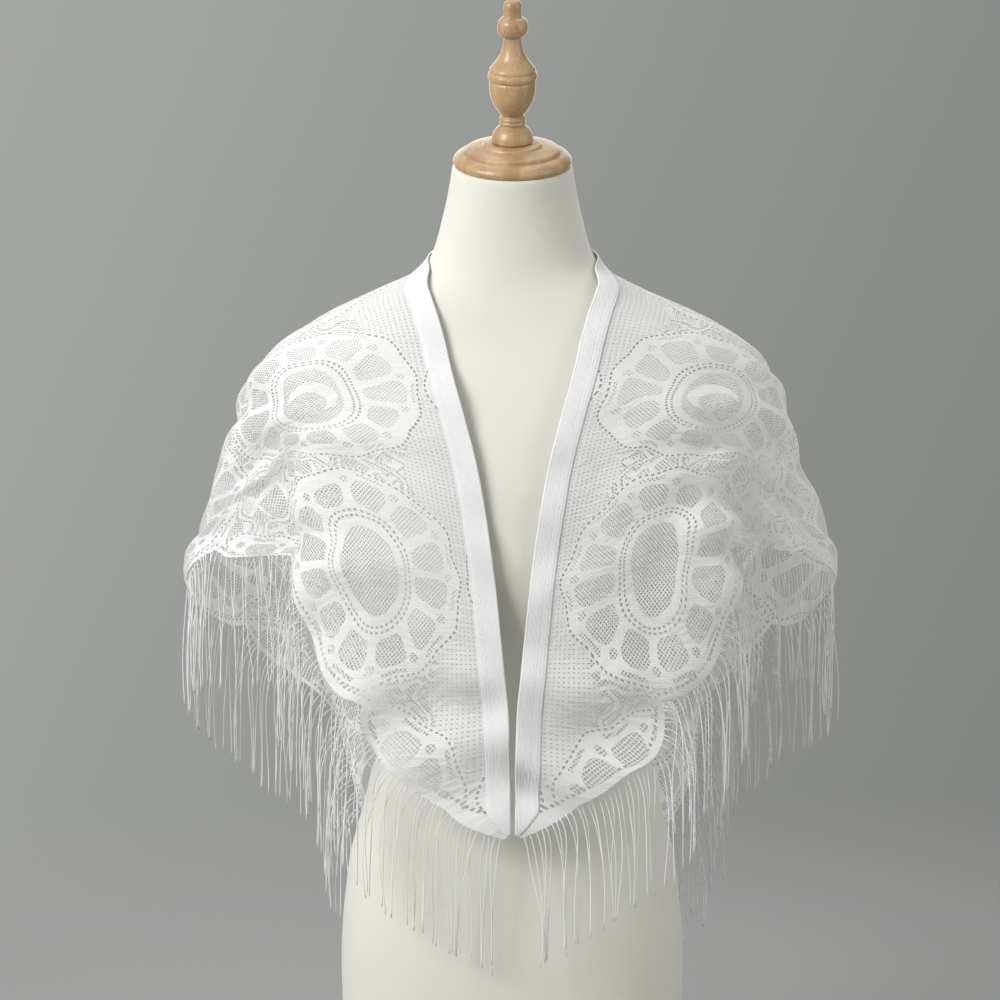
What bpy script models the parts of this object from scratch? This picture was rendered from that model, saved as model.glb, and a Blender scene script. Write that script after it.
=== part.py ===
"""A triangular lace shawl with a fringe, worn by a limbless dress form.

Metres, +Z up, the form faces -Y and stands on its own flat underside at z = 0. Azimuths are in
degrees round the form's middle line: 0 is the front, +90 is +X and 180 is the back.

The shawl is cut as a flat triangle. Along its long edge runs s, from -EDGE / 2 at the left front
tip to +EDGE / 2 at the right one, and t runs from that edge towards the hem. Each line of constant s
is laid over the form from its place on the long edge to its place on the hem.
"""

import math
from typing import NamedTuple

import bmesh
import bpy
import numpy as np

# The flat cut of the shawl
EDGE = 1.32
DEPTH = 0.64
BAND = 0.022
FRINGE = 0.12
FRINGE_SPRING = 0.014
TIP_END = 0.655
LACE_END = 0.632

# Walls and gaps
CLOTH_WALL = 0.0015
FRINGE_WALL = 0.001
SEAM = 0.0003
FRINGE_SEAM = 0.0006
FORM_CLEARANCE = 0.0009
CONTACT_SOFTNESS = 0.003
LEAST_CLEARANCE = 0.0002

# The turned cap and finial lean forward with the neck
LEAN = math.radians(16)
NECK_TOP = 0.931
LEAN_START = 0.868

# How finely each piece is faceted
FORM_SIDES = 40
FORM_STEPS = 2
TURNED_SIDES = 24
BAND_ROWS = 2
LACE_ROWS = 13
ROW_SPREAD = 1.2
FRINGE_ROWS = 4
FRINGE_SUBSTEPS = 6
PATH_STEPS = 80
TABLE_STEPS = 600
LONG_STEP = 0.03
LEAVE_ROUNDS = 6
RAISE_ROUNDS = 12
RAISE_SHARE = 0.5
RAISE_PROBES = 6


class Section(NamedTuple):
    """One level cut through the form, about its middle line."""

    height: float
    half_width: float
    front: float
    back: float
    centre_y: float
    roundness: float


FORM_SECTIONS = (
    Section(0.000, 0.138, 0.093, 0.100, 0.000, 2.1),
    Section(0.004, 0.144, 0.099, 0.106, 0.000, 2.1),
    Section(0.014, 0.146, 0.101, 0.108, 0.000, 2.1),
    Section(0.100, 0.151, 0.104, 0.113, 0.000, 2.15),
    Section(0.215, 0.155, 0.105, 0.118, 0.000, 2.2),
    Section(0.300, 0.148, 0.100, 0.109, 0.000, 2.15),
    Section(0.360, 0.133, 0.094, 0.095, 0.000, 2.1),
    Section(0.415, 0.121, 0.090, 0.085, 0.000, 2.1),
    Section(0.470, 0.126, 0.095, 0.086, 0.000, 2.15),
    Section(0.530, 0.140, 0.108, 0.093, 0.000, 2.25),
    Section(0.590, 0.152, 0.119, 0.101, 0.000, 2.3),
    Section(0.640, 0.157, 0.116, 0.106, 0.000, 2.3),
    Section(0.690, 0.166, 0.105, 0.107, 0.000, 2.35),
    Section(0.730, 0.183, 0.092, 0.103, 0.000, 2.35),
    Section(0.752, 0.194, 0.084, 0.098, 0.000, 2.35),
    Section(0.768, 0.195, 0.078, 0.094, 0.000, 2.3),
    Section(0.780, 0.185, 0.074, 0.091, 0.000, 2.25),
    Section(0.792, 0.166, 0.071, 0.087, 0.000, 2.2),
    Section(0.806, 0.137, 0.067, 0.082, -0.001, 2.1),
    Section(0.822, 0.105, 0.063, 0.074, -0.002, 2.05),
    Section(0.838, 0.081, 0.060, 0.066, -0.004, 2.0),
    Section(0.854, 0.0705, 0.058, 0.060, -0.007, 2.0),
    Section(0.880, 0.0630, 0.056, 0.057, -0.012, 2.0),
    Section(0.905, 0.0572, 0.054, 0.055, -0.018, 2.0),
    Section(0.931, 0.0528, 0.0528, 0.0528, -0.025, 2.0),
)


class Ring(NamedTuple):
    """One level cut through the hanging cloth, before its folds."""

    height: float
    half_width: float
    front: float
    back: float
    back_roundness: float


CLOTH_RINGS = (
    Ring(0.200, 0.250, 0.126, 0.146, 3.0),
    Ring(0.300, 0.252, 0.127, 0.145, 3.0),
    Ring(0.380, 0.256, 0.129, 0.143, 3.0),
    Ring(0.450, 0.268, 0.131, 0.140, 3.0),
    Ring(0.500, 0.283, 0.131, 0.136, 2.9),
    Ring(0.576, 0.297, 0.129, 0.131, 2.6),
    Ring(0.640, 0.277, 0.123, 0.125, 2.4),
    Ring(0.700, 0.254, 0.112, 0.118, 2.3),
    Ring(0.735, 0.238, 0.100, 0.111, 2.25),
    Ring(0.757, 0.224, 0.090, 0.105, 2.2),
    Ring(0.780, 0.199, 0.080, 0.098, 2.2),
    Ring(0.800, 0.160, 0.074, 0.091, 2.1),
    Ring(0.822, 0.114, 0.067, 0.080, 2.0),
    Ring(0.844, 0.074, 0.060, 0.067, 2.0),
    Ring(0.880, 0.062, 0.055, 0.058, 2.0),
)


class Fold(NamedTuple):
    """A trough (negative depth) or ridge that runs down the cloth and opens out downwards."""

    name: str
    azimuth: float
    half_width: float
    depth: float
    top: float
    full: float


FOLDS = (
    Fold("right side valley", 80, 11, -0.076, 0.735, 0.590),
    Fold("right wing roll", 97, 9, 0.008, 0.700, 0.560),
    Fold("right back hollow", 115, 8, -0.012, 0.690, 0.500),
    Fold("right back ridge", 133, 9, 0.010, 0.640, 0.420),
    Fold("right middle hollow", 152, 10, -0.011, 0.600, 0.360),
    Fold("spine ridge", 171, 9, 0.009, 0.560, 0.300),
    Fold("left middle hollow", -168, 10, -0.010, 0.600, 0.340),
    Fold("left back ridge", -149, 10, 0.012, 0.660, 0.400),
    Fold("left back hollow", -129, 8, -0.011, 0.640, 0.480),
    Fold("left wing roll", -98, 9, 0.008, 0.700, 0.540),
    Fold("left side valley", -79, 11, -0.078, 0.740, 0.590),
    Fold("right front ridge", 51, 8, 0.005, 0.640, 0.520),
    Fold("left front ridge", -47, 9, 0.006, 0.660, 0.500),
)


class EdgeRow(NamedTuple):
    """A place on the long edge, from the nape over the neck's side to the front tip."""

    azimuth: float
    height: float


LONG_EDGE = (
    EdgeRow(180.0, 0.866),
    EdgeRow(150.0, 0.864),
    EdgeRow(118.0, 0.858),
    EdgeRow(92.0, 0.851),
    EdgeRow(72.0, 0.842),
    EdgeRow(57.0, 0.826),
    EdgeRow(45.5, 0.805),
    EdgeRow(31.0, 0.755),
    EdgeRow(21.0, 0.712),
    EdgeRow(14.2, 0.668),
    EdgeRow(9.6, 0.618),
    EdgeRow(6.6, 0.570),
    EdgeRow(3.4, 0.500),
    EdgeRow(1.4, 0.450),
    EdgeRow(0.9, 0.400),
    EdgeRow(0.9, 0.346),
)


class HemRow(NamedTuple):
    """A place on the hem, from the front tip to the back tip, a little uneven left and right."""

    azimuth: float
    right: float
    left: float


HEM = (
    HemRow(0.9, 0.344, 0.344),
    HemRow(16.0, 0.360, 0.356),
    HemRow(31.0, 0.384, 0.378),
    HemRow(38.0, 0.403, 0.400),
    HemRow(44.0, 0.416, 0.424),
    HemRow(50.0, 0.448, 0.452),
    HemRow(55.5, 0.497, 0.505),
    HemRow(61.0, 0.545, 0.548),
    HemRow(68.0, 0.574, 0.570),
    HemRow(79.0, 0.594, 0.586),
    HemRow(89.0, 0.582, 0.578),
    HemRow(96.0, 0.560, 0.564),
    HemRow(104.0, 0.520, 0.524),
    HemRow(112.0, 0.487, 0.486),
    HemRow(119.0, 0.458, 0.460),
    HemRow(123.5, 0.432, 0.436),
    HemRow(127.5, 0.382, 0.392),
    HemRow(132.0, 0.332, 0.340),
    HemRow(138.5, 0.298, 0.300),
    HemRow(158.0, 0.240, 0.242),
    HemRow(180.0, 0.204, 0.204),
)


class Lay(NamedTuple):
    """How a line of constant s runs: how far its turn leads, how late it falls, and its rise."""

    s: float
    turn: float
    fall: float
    rise: float


LAYS = (
    Lay(0.00, 2.4, 1.0, 0.000),
    Lay(0.06, 1.9, 1.4, 0.000),
    Lay(0.12, 1.45, 1.8, 0.000),
    Lay(0.20, 1.15, 2.6, 0.010),
    Lay(0.30, 1.0, 4.0, 0.020),
    Lay(0.36, 1.0, 6.0, 0.026),
    Lay(0.40, 1.0, 3.0, 0.026),
    Lay(0.44, 1.0, 0.9, 0.012),
    Lay(0.50, 1.0, 1.0, 0.000),
    Lay(0.66, 1.0, 1.0, 0.000),
)


class Stretch(NamedTuple):
    """The part of the shawl from the last stretch's end to the line s = end, in so many cells."""

    name: str
    end: float
    cells: int


STRETCHES = (
    Stretch("left_front", -0.36, 16),
    Stretch("left_shoulder", -0.17, 14),
    Stretch("back_left", 0.0, 12),
    Stretch("back_right", 0.17, 12),
    Stretch("right_shoulder", 0.36, 14),
    Stretch("right_front", LACE_END, 16),
)


class BandPiece(NamedTuple):
    """A piece of the band, by the first and the last stretch that it edges."""

    name: str
    first: str
    last: str


BAND_PIECES = (
    BandPiece("left", "left_front", "left_shoulder"),
    BandPiece("nape", "back_left", "back_right"),
    BandPiece("right", "right_shoulder", "right_front"),
)


class TurnRow(NamedTuple):
    """A point of a turned outline, in millimetres from the cap's underside."""

    radius: float
    height: float


CAP_OUTLINE = (
    TurnRow(50.6, 0.0),
    TurnRow(52.2, 1.2),
    TurnRow(52.6, 3.6),
    TurnRow(51.6, 6.4),
    TurnRow(48.6, 9.2),
    TurnRow(44.4, 11.0),
    TurnRow(42.6, 11.2),
    TurnRow(42.4, 13.0),
    TurnRow(41.2, 14.4),
    TurnRow(37.0, 15.8),
    TurnRow(31.5, 16.8),
    TurnRow(26.8, 17.2),
    TurnRow(26.2, 18.4),
    TurnRow(24.8, 19.4),
    TurnRow(21.0, 20.0),
)
FINIAL_OUTLINE = (
    TurnRow(17.4, 20.3),
    TurnRow(18.4, 22.0),
    TurnRow(18.2, 25.2),
    TurnRow(17.0, 29.0),
    TurnRow(14.8, 32.4),
    TurnRow(11.8, 35.2),
    TurnRow(10.7, 36.2),
    TurnRow(11.8, 37.6),
    TurnRow(11.5, 39.4),
    TurnRow(10.9, 40.1),
    TurnRow(11.7, 41.2),
    TurnRow(11.2, 43.0),
    TurnRow(9.6, 44.6),
    TurnRow(11.0, 46.4),
    TurnRow(14.0, 50.4),
    TurnRow(17.0, 55.4),
    TurnRow(19.2, 61.0),
    TurnRow(20.4, 68.0),
    TurnRow(20.6, 74.6),
    TurnRow(19.8, 76.4),
    TurnRow(21.2, 77.8),
    TurnRow(21.9, 80.4),
    TurnRow(21.3, 83.0),
    TurnRow(20.2, 84.2),
    TurnRow(20.3, 86.0),
    TurnRow(17.6, 90.4),
    TurnRow(13.6, 95.4),
    TurnRow(10.8, 100.4),
    TurnRow(8.9, 106.4),
    TurnRow(7.9, 112.0),
    TurnRow(7.7, 115.0),
    TurnRow(10.2, 116.4),
    TurnRow(12.6, 119.2),
    TurnRow(13.6, 123.6),
    TurnRow(13.2, 127.8),
    TurnRow(11.0, 131.6),
    TurnRow(8.0, 133.6),
    TurnRow(7.8, 136.0),
    TurnRow(7.9, 142.0),
    TurnRow(7.0, 145.8),
    TurnRow(4.2, 148.0),
    TurnRow(0.0, 148.6),
)


class Finish(NamedTuple):
    """A Principled finish."""

    name: str
    colour: tuple
    roughness: float


LACE = Finish("lace", (0.90, 0.90, 0.89), 0.75)
FRINGE_THREAD = Finish("fringe_thread", (0.86, 0.86, 0.85), 0.70)
BAND_RIB = Finish("ribbed_band", (0.93, 0.93, 0.92), 0.72)
JERSEY = Finish("ivory_jersey", (0.80, 0.78, 0.70), 0.85)
WOOD = Finish("beech", (0.56, 0.36, 0.19), 0.42)


# ---------------------------------------------------------------- curves through the tables


def through(xs, ys, at):
    """A smooth curve through the points (xs, ys) that never overshoots them, read at the places at."""
    xs = np.asarray(xs, float)
    ys = np.asarray(ys, float)
    step = np.diff(xs)
    slope = np.diff(ys) / step
    tangent = np.zeros(len(xs))
    level = slope[:-1] * slope[1:] <= 0
    before = 2 * step[1:] + step[:-1]
    after = step[1:] + 2 * step[:-1]
    safe_low = np.where(level, 1.0, slope[:-1])
    safe_high = np.where(level, 1.0, slope[1:])
    tangent[1:-1] = np.where(level, 0.0, (before + after) / (before / safe_low + after / safe_high))
    tangent[0] = slope[0]
    tangent[-1] = slope[-1]
    at = np.clip(at, xs[0], xs[-1])
    cell = np.clip(np.searchsorted(xs, at, side="right") - 1, 0, len(xs) - 2)
    width = step[cell]
    u = (at - xs[cell]) / width
    low = ys[cell] * (1 + 2 * u) * (1 - u) ** 2 + ys[cell + 1] * u**2 * (3 - 2 * u)
    return low + width * (tangent[cell] * u * (1 - u) ** 2 + tangent[cell + 1] * u**2 * (u - 1))


def column(rows, name, at):
    """A table's named column as a smooth curve over its first column."""
    return through([row[0] for row in rows], [getattr(row, name) for row in rows], at)


def smooth_step(value):
    """0 below 0, 1 above 1, and an even S between them."""
    value = np.clip(value, 0.0, 1.0)
    return value * value * (3 - 2 * value)


# ---------------------------------------------------------------- the form and the cloth as surfaces


def oval(azimuth, half_width, front, back, front_roundness, back_roundness):
    """Distance from the middle line to an oval that is deeper on one side than on the other."""
    across = np.abs(np.sin(azimuth)) / half_width
    along = np.abs(np.cos(azimuth)) / np.where(np.cos(azimuth) > 0, front, back)
    power = np.where(np.cos(azimuth) > 0, front_roundness, back_roundness)
    return (across**power + along**power) ** (-1.0 / power)


def form_radius(azimuth, height):
    """Distance from the middle line to the form's surface."""
    roundness = column(FORM_SECTIONS, "roundness", height)
    return oval(
        azimuth,
        column(FORM_SECTIONS, "half_width", height),
        column(FORM_SECTIONS, "front", height),
        column(FORM_SECTIONS, "back", height),
        roundness,
        roundness,
    )


def fold_height(azimuth, height):
    """How far the folds push the cloth outwards."""
    total = np.zeros(np.broadcast(azimuth, height).shape)
    for fold in FOLDS:
        turned = np.degrees(azimuth) - fold.azimuth
        apart = np.abs((turned + 180) % 360 - 180) / fold.half_width
        shape = np.exp(-(apart**2))
        total += fold.depth * shape * smooth_step((fold.top - height) / (fold.top - fold.full))
    return total


def cloth_radius(azimuth, height):
    """Distance from the middle line to the inside of the cloth: on the form, or hanging clear of it."""
    hanging = oval(
        azimuth,
        column(CLOTH_RINGS, "half_width", height),
        column(CLOTH_RINGS, "front", height),
        column(CLOTH_RINGS, "back", height),
        2.1,
        column(CLOTH_RINGS, "back_roundness", height),
    )
    hanging = hanging + fold_height(azimuth, height)
    resting = form_radius(azimuth, height) + FORM_CLEARANCE
    return (hanging + resting + np.sqrt((hanging - resting) ** 2 + CONTACT_SOFTNESS**2)) / 2


def around(azimuth, height, radius):
    """The point at an azimuth, height and distance from the form's middle line."""
    centre = column(FORM_SECTIONS, "centre_y", height)
    return np.stack([radius * np.sin(azimuth), centre - radius * np.cos(azimuth), height], axis=-1)


def lengths_along(points):
    """The running length of a line of points."""
    return np.concatenate([[0.0], np.cumsum(np.linalg.norm(np.diff(points, axis=0), axis=1))])


def evenly(azimuths, heights, fractions):
    """A line on the cloth read at fractions of its true length, as azimuths and heights."""
    points = around(azimuths, heights, cloth_radius(azimuths, heights))
    run = lengths_along(points)
    wanted = np.asarray(fractions) * run[-1]
    return np.interp(wanted, run, azimuths), np.interp(wanted, run, heights)


def edge_place(s):
    """Azimuth and height of the long edge at s, which may be an array of one sign."""
    rows = np.arange(len(LONG_EDGE))
    fine = np.linspace(0, rows[-1], TABLE_STEPS)
    azimuths = np.radians(through(rows, [row.azimuth for row in LONG_EDGE], fine))
    heights = through(rows, [row.height for row in LONG_EDGE], fine)
    return evenly(azimuths, heights, np.abs(s) / (EDGE / 2))


def hem_place(s, side):
    """Azimuth and height of the hem at s, on the side that is named right or left."""
    rows = np.arange(len(HEM))
    fine = np.linspace(0, rows[-1], TABLE_STEPS)
    azimuths = np.radians(through(rows, [row.azimuth for row in HEM], fine))
    heights = through(rows, [getattr(row, side) for row in HEM], fine)
    return evenly(azimuths, heights, 1 - np.abs(s) / (EDGE / 2))


def hem_depth(s):
    """How far the flat cut reaches from the long edge at s."""
    return DEPTH * (1 - abs(s) / (EDGE / 2))


def cloth_line(s, depths):
    """Azimuths, heights and points of the cloth along one line of constant s, at the given t."""
    side = "right" if s >= 0 else "left"
    sign = 1 if s >= 0 else -1
    edge_azimuth, edge_height = edge_place(s)
    hem_azimuth, hem_height = hem_place(s, side)
    turn = column(LAYS, "turn", abs(s))
    fall = column(LAYS, "fall", abs(s))
    run = np.linspace(0, 1, PATH_STEPS)
    azimuths = edge_azimuth + (hem_azimuth - edge_azimuth) * (1 - (1 - run) ** turn)
    heights = edge_height + (hem_height - edge_height) * run**fall
    heights += column(LAYS, "rise", abs(s)) * np.sin(math.pi * run**1.5)
    azimuths, heights = evenly(sign * azimuths, heights, np.asarray(depths) / hem_depth(s))
    return around(azimuths, heights, cloth_radius(azimuths, heights))


# ---------------------------------------------------------------- the cloth as a grid


def grid_normals(grid):
    """Unit normals of a grid, pointing away from the form; the end lines take their neighbours'."""
    along_s = np.gradient(grid, axis=0)
    along_t = np.gradient(grid, axis=1)
    normals = np.cross(along_s, along_t)[1:-1]
    normals /= np.linalg.norm(normals, axis=2, keepdims=True)
    return np.concatenate([normals[:1], normals, normals[-1:]])


def form_shortage(points):
    """How much nearer to the form than the least clearance each point is, or 0."""
    centre = column(FORM_SECTIONS, "centre_y", points[..., 2])
    across = points[..., 0]
    along = centre - points[..., 1]
    azimuth = np.arctan2(across, along)
    room = np.hypot(across, along) - form_radius(azimuth, points[..., 2])
    return np.maximum(0.0, LEAST_CLEARANCE - room)


def raised_off_form(grid, normals, places):
    """The grid with each facet that the form would pierce moved out along the cloth's normals."""
    grid = grid.copy()
    shares = np.linspace(0, 1, RAISE_PROBES)
    left = (places[:-1] < 0)[:, None, None]
    for _ in range(RAISE_ROUNDS):
        near, side, over, far = grid[:-1, :-1], grid[1:, :-1], grid[:-1, 1:], grid[1:, 1:]
        most = np.zeros(grid.shape[:2])
        for a in shares:
            for b in shares:
                first, second, corner = (b, a, over) if b >= a else (a, b, side)
                rising = near + (corner - near) * first + (far - corner) * second
                if a + b <= 1:
                    falling = near + (side - near) * a + (over - near) * b
                else:
                    falling = far + (over - far) * (1 - a) + (side - far) * (1 - b)
                short = form_shortage(np.where(left, falling, rising))
                for i, j in ((0, 0), (0, 1), (1, 0), (1, 1)):
                    window = most[i : i + short.shape[0], j : j + short.shape[1]]
                    np.maximum(window, short, out=window)
        grid += normals * (most * RAISE_SHARE)[..., None]
    return grid


def stations():
    """The s of every line of constant s from tip to tip, and each stretch's first and last index."""
    places = [-TIP_END, -LACE_END]
    spans = {}
    for stretch in STRETCHES:
        first = len(places) - 1
        places.extend(np.linspace(places[-1], stretch.end, stretch.cells + 1)[1:])
        spans[stretch.name] = (first, len(places) - 1)
    places.append(TIP_END)
    return np.array(places), spans


def shawl_grid(places):
    """The shawl from the long edge to the hem: the band's rows, then the lace's."""
    band_rows = np.linspace(0, 1, BAND_ROWS + 1)
    lace_rows = np.linspace(0, 1, LACE_ROWS + 1)[1:] ** ROW_SPREAD
    lines = []
    for s in places:
        whole = hem_depth(s)
        band = min(BAND, whole)
        depths = np.concatenate([band * band_rows, band + (whole - band) * lace_rows])
        lines.append(cloth_line(float(s), depths))
    return np.array(lines)


def fringe_grid(grid):
    """The fringe's reach: it leaves the hem square to it and bends down under its own weight."""
    hem = grid[:, -1]
    along = np.gradient(hem, axis=0)
    along /= np.linalg.norm(along, axis=1, keepdims=True)
    leave = hem - grid[:, -2]
    leave[[0, -1]] = leave[[1, -2]]
    leave -= along * np.sum(leave * along, axis=1, keepdims=True)
    leave /= np.linalg.norm(leave, axis=1, keepdims=True)
    for _ in range(LEAVE_ROUNDS):
        leave[1:-1] = (leave[:-2] + leave[1:-1] + leave[2:]) / 3
    leave /= np.linalg.norm(leave, axis=1, keepdims=True)
    down = np.array([0.0, 0.0, -1.0])
    steps = FRINGE_SUBSTEPS * FRINGE_ROWS
    length = FRINGE / steps
    point = hem
    rows = [point]
    for step in range(1, steps + 1):
        stiff = math.exp(-(step - 0.5) * length / FRINGE_SPRING)
        heading = leave * stiff + down * (1 - stiff)
        heading /= np.linalg.norm(heading, axis=1, keepdims=True)
        point = point + heading * length
        if step % FRINGE_SUBSTEPS == 0:
            rows.append(point)
    return np.stack(rows, axis=1)


def drawn_in(grid, edges, half):
    """A piece of a grid with the named edges drawn in by half, square to themselves."""
    grid = grid.copy()
    for edge in edges:
        index, beside = {"first": (0, 1), "last": (-1, -2), "low": (0, 1), "high": (-1, -2)}[edge]
        lines = grid if edge in ("first", "last") else grid.transpose(1, 0, 2)
        along = np.gradient(lines[index], axis=0)
        along /= np.linalg.norm(along, axis=1, keepdims=True)
        inwards = lines[beside] - lines[index]
        inwards -= along * np.sum(inwards * along, axis=1, keepdims=True)
        lines[index] += inwards / np.linalg.norm(inwards, axis=1, keepdims=True) * half
    return grid


# ---------------------------------------------------------------- meshes


def finished(finish):
    """A material of the given finish."""
    material = bpy.data.materials.new(finish.name)
    material.use_nodes = True
    shader = material.node_tree.nodes["Principled BSDF"]
    shader.inputs["Base Color"].default_value = (*finish.colour, 1)
    shader.inputs["Roughness"].default_value = finish.roughness
    return material


def placed(name, points, faces, material):
    """A mesh object of the given points and faces, shaded smooth up to its sharp edges."""
    mesh = bpy.data.meshes.new(name)
    mesh.from_pydata([tuple(point) for point in points], [], faces)
    work = bmesh.new()
    work.from_mesh(mesh)
    bmesh.ops.recalc_face_normals(work, faces=work.faces)
    work.to_mesh(mesh)
    work.free()
    mesh.shade_smooth()
    mesh.set_sharp_from_angle(angle=math.radians(40))
    mesh.materials.append(material)
    piece = bpy.data.objects.new(name, mesh)
    bpy.context.scene.collection.objects.link(piece)
    return piece


def wall(name, grid, normals, thickness, material, left):
    """A closed wall on a grid, thickened along its normals; left marks the cells on the left side."""
    rows, columns = grid.shape[:2]
    inner = grid.reshape(-1, 3)
    outer = (grid + normals * thickness).reshape(-1, 3)
    count = rows * columns
    faces = []
    for i in range(rows - 1):
        for j in range(columns - 1):
            a = i * columns + j
            b = a + 1
            c = a + columns + 1
            d = a + columns
            halves = ((a, b, d), (b, c, d)) if left[i] else ((a, b, c), (a, c, d))
            for face in halves:
                faces.append(face)
                faces.append(tuple(count + corner for corner in reversed(face)))
    rim = [i * columns for i in range(rows)]
    rim += [(rows - 1) * columns + j for j in range(1, columns)]
    rim += [i * columns + columns - 1 for i in range(rows - 2, -1, -1)]
    rim += [j for j in range(columns - 2, 0, -1)]
    for here, after in zip(rim, rim[1:] + rim[:1]):
        faces.append((here, after, count + after, count + here))
    return placed(name, np.concatenate([inner, outer]), faces, material)


def dress_form(material):
    """The closed torso, level cuts below and leaning ones up the neck."""
    knots = [row.height for row in FORM_SECTIONS]
    heights = [knots[0], knots[1]]
    for low, high in zip(knots[1:], knots[2:]):
        steps = FORM_STEPS if high - low > LONG_STEP else 1
        heights += [low + (high - low) * (i + 1) / steps for i in range(steps)]
    azimuths = np.arange(FORM_SIDES) * math.tau / FORM_SIDES
    points = []
    for height in heights:
        level = np.full(FORM_SIDES, height)
        cut = around(azimuths, level, form_radius(azimuths, level))
        lean = LEAN * smooth_step((height - LEAN_START) / (NECK_TOP - LEAN_START))
        centre = around(0.0, height, 0.0)
        forward = centre[1] - cut[:, 1]
        cut[:, 1] = centre[1] - forward * math.cos(lean)
        cut[:, 2] = height - forward * math.sin(lean)
        points.extend(cut)
    faces = []
    for level in range(len(heights) - 1):
        for side in range(FORM_SIDES):
            a = level * FORM_SIDES + side
            b = level * FORM_SIDES + (side + 1) % FORM_SIDES
            faces.append((a, b, b + FORM_SIDES, a + FORM_SIDES))
    faces.append(tuple(range(FORM_SIDES))[::-1])
    top = (len(heights) - 1) * FORM_SIDES
    faces.append(tuple(range(top, top + FORM_SIDES)))
    return placed("torso", points, faces, material)


def turned(name, outline, material, gap):
    """A turned piece on the leaning neck, its outline spun round its own axis."""
    count = len(outline)
    points = [(0.0, 0.0, outline[0].height)]
    rows = [row for row in outline if row.radius > 0]
    for row in rows:
        for side in range(TURNED_SIDES):
            angle = side * math.tau / TURNED_SIDES
            points.append((row.radius * math.cos(angle), row.radius * math.sin(angle), row.height))
    points.append((0.0, 0.0, outline[count - 1].height))
    last = len(points) - 1
    faces = []
    for side in range(TURNED_SIDES):
        after = (side + 1) % TURNED_SIDES
        faces.append((0, 1 + after, 1 + side))
        for level in range(len(rows) - 1):
            low = 1 + level * TURNED_SIDES
            high = low + TURNED_SIDES
            faces.append((low + side, low + after, high + after, high + side))
        top = 1 + (len(rows) - 1) * TURNED_SIDES
        faces.append((top + side, top + after, last))
    seat = around(0.0, NECK_TOP, 0.0)
    axis = np.array([0.0, -math.sin(LEAN), math.cos(LEAN)])
    forward = np.array([0.0, -math.cos(LEAN), -math.sin(LEAN)])
    sideways = np.array([1.0, 0.0, 0.0])
    metres = np.array(points) * 0.001
    world = seat + axis * (gap + metres[:, 2:]) + forward * metres[:, 1:2] + sideways * metres[:, :1]
    return placed(name, world, faces, material)


def lay_shawl():
    """Every stretch of the band, lace and fringe, a seam apart."""
    lace = finished(LACE)
    thread = finished(FRINGE_THREAD)
    rib = finished(BAND_RIB)
    places, spans = stations()
    grid = shawl_grid(places)
    normals = grid_normals(grid)
    grid = raised_off_form(grid, normals, places)
    fringe = fringe_grid(grid)
    fringe_normals = grid_normals(fringe)
    fringe_normals[:, 0] = normals[:, -1]
    last_line = len(places) - 1

    def cut(name, source, outward, lines, rows, thickness, material, edges):
        ends = {"first": lines[0] > 1, "last": lines[1] < last_line - 1}
        kept = [edge for edge in edges if ends.get(edge, True)]
        part = (slice(lines[0], lines[1] + 1), slice(rows[0], rows[1] + 1))
        left = places[lines[0] : lines[1]] < 0
        half = FRINGE_SEAM if source is fringe else SEAM / 2
        wall(name, drawn_in(source[part], kept, half), outward[part], thickness, material, left)

    for piece in BAND_PIECES:
        first = spans[piece.first][0]
        last = spans[piece.last][1]
        lines = (0 if first == 1 else first, last_line if last == last_line - 1 else last)
        rows = (0, BAND_ROWS)
        edges = ("first", "last", "high")
        cut(f"neck_band_{piece.name}", grid, normals, lines, rows, CLOTH_WALL, rib, edges)
    for stretch in STRETCHES:
        first, last = spans[stretch.name]
        rows = (BAND_ROWS, BAND_ROWS + LACE_ROWS)
        edges = ("first", "last", "low", "high")
        cut(f"lace_{stretch.name}", grid, normals, (first, last), rows, CLOTH_WALL, lace, edges)
        lines = (0 if first == 1 else first, last_line if last == last_line - 1 else last)
        rows = (0, FRINGE_ROWS)
        edges = ("first", "last", "low")
        name = f"fringe_{stretch.name}"
        cut(name, fringe, fringe_normals, lines, rows, FRINGE_WALL, thread, edges)


def clear_scene():
    """Removes every object of the scene."""
    for item in list(bpy.data.objects):
        bpy.data.objects.remove(item)


def main():
    """Builds the form, its wooden cap and finial, and the shawl."""
    clear_scene()
    wood = finished(WOOD)
    dress_form(finished(JERSEY))
    turned("neck_cap", CAP_OUTLINE, wood, SEAM)
    turned("finial", FINIAL_OUTLINE, wood, SEAM)
    lay_shawl()


if __name__ == "__main__":
    main()
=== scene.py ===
"""A white lace shawl worn by a dress form: its looks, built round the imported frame.

Metres, +Z up, the form faces -Y. Azimuths run round the form's middle line: 0 is the front, +90 is
+X and 180 is the back. The shawl is cut as a flat triangle: s runs along its long edge from the left
front tip to the right one, and t runs from that edge to the scalloped hem.
"""

import logging
import math
from dataclasses import dataclass
from enum import Enum
from typing import NamedTuple, Sequence

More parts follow.
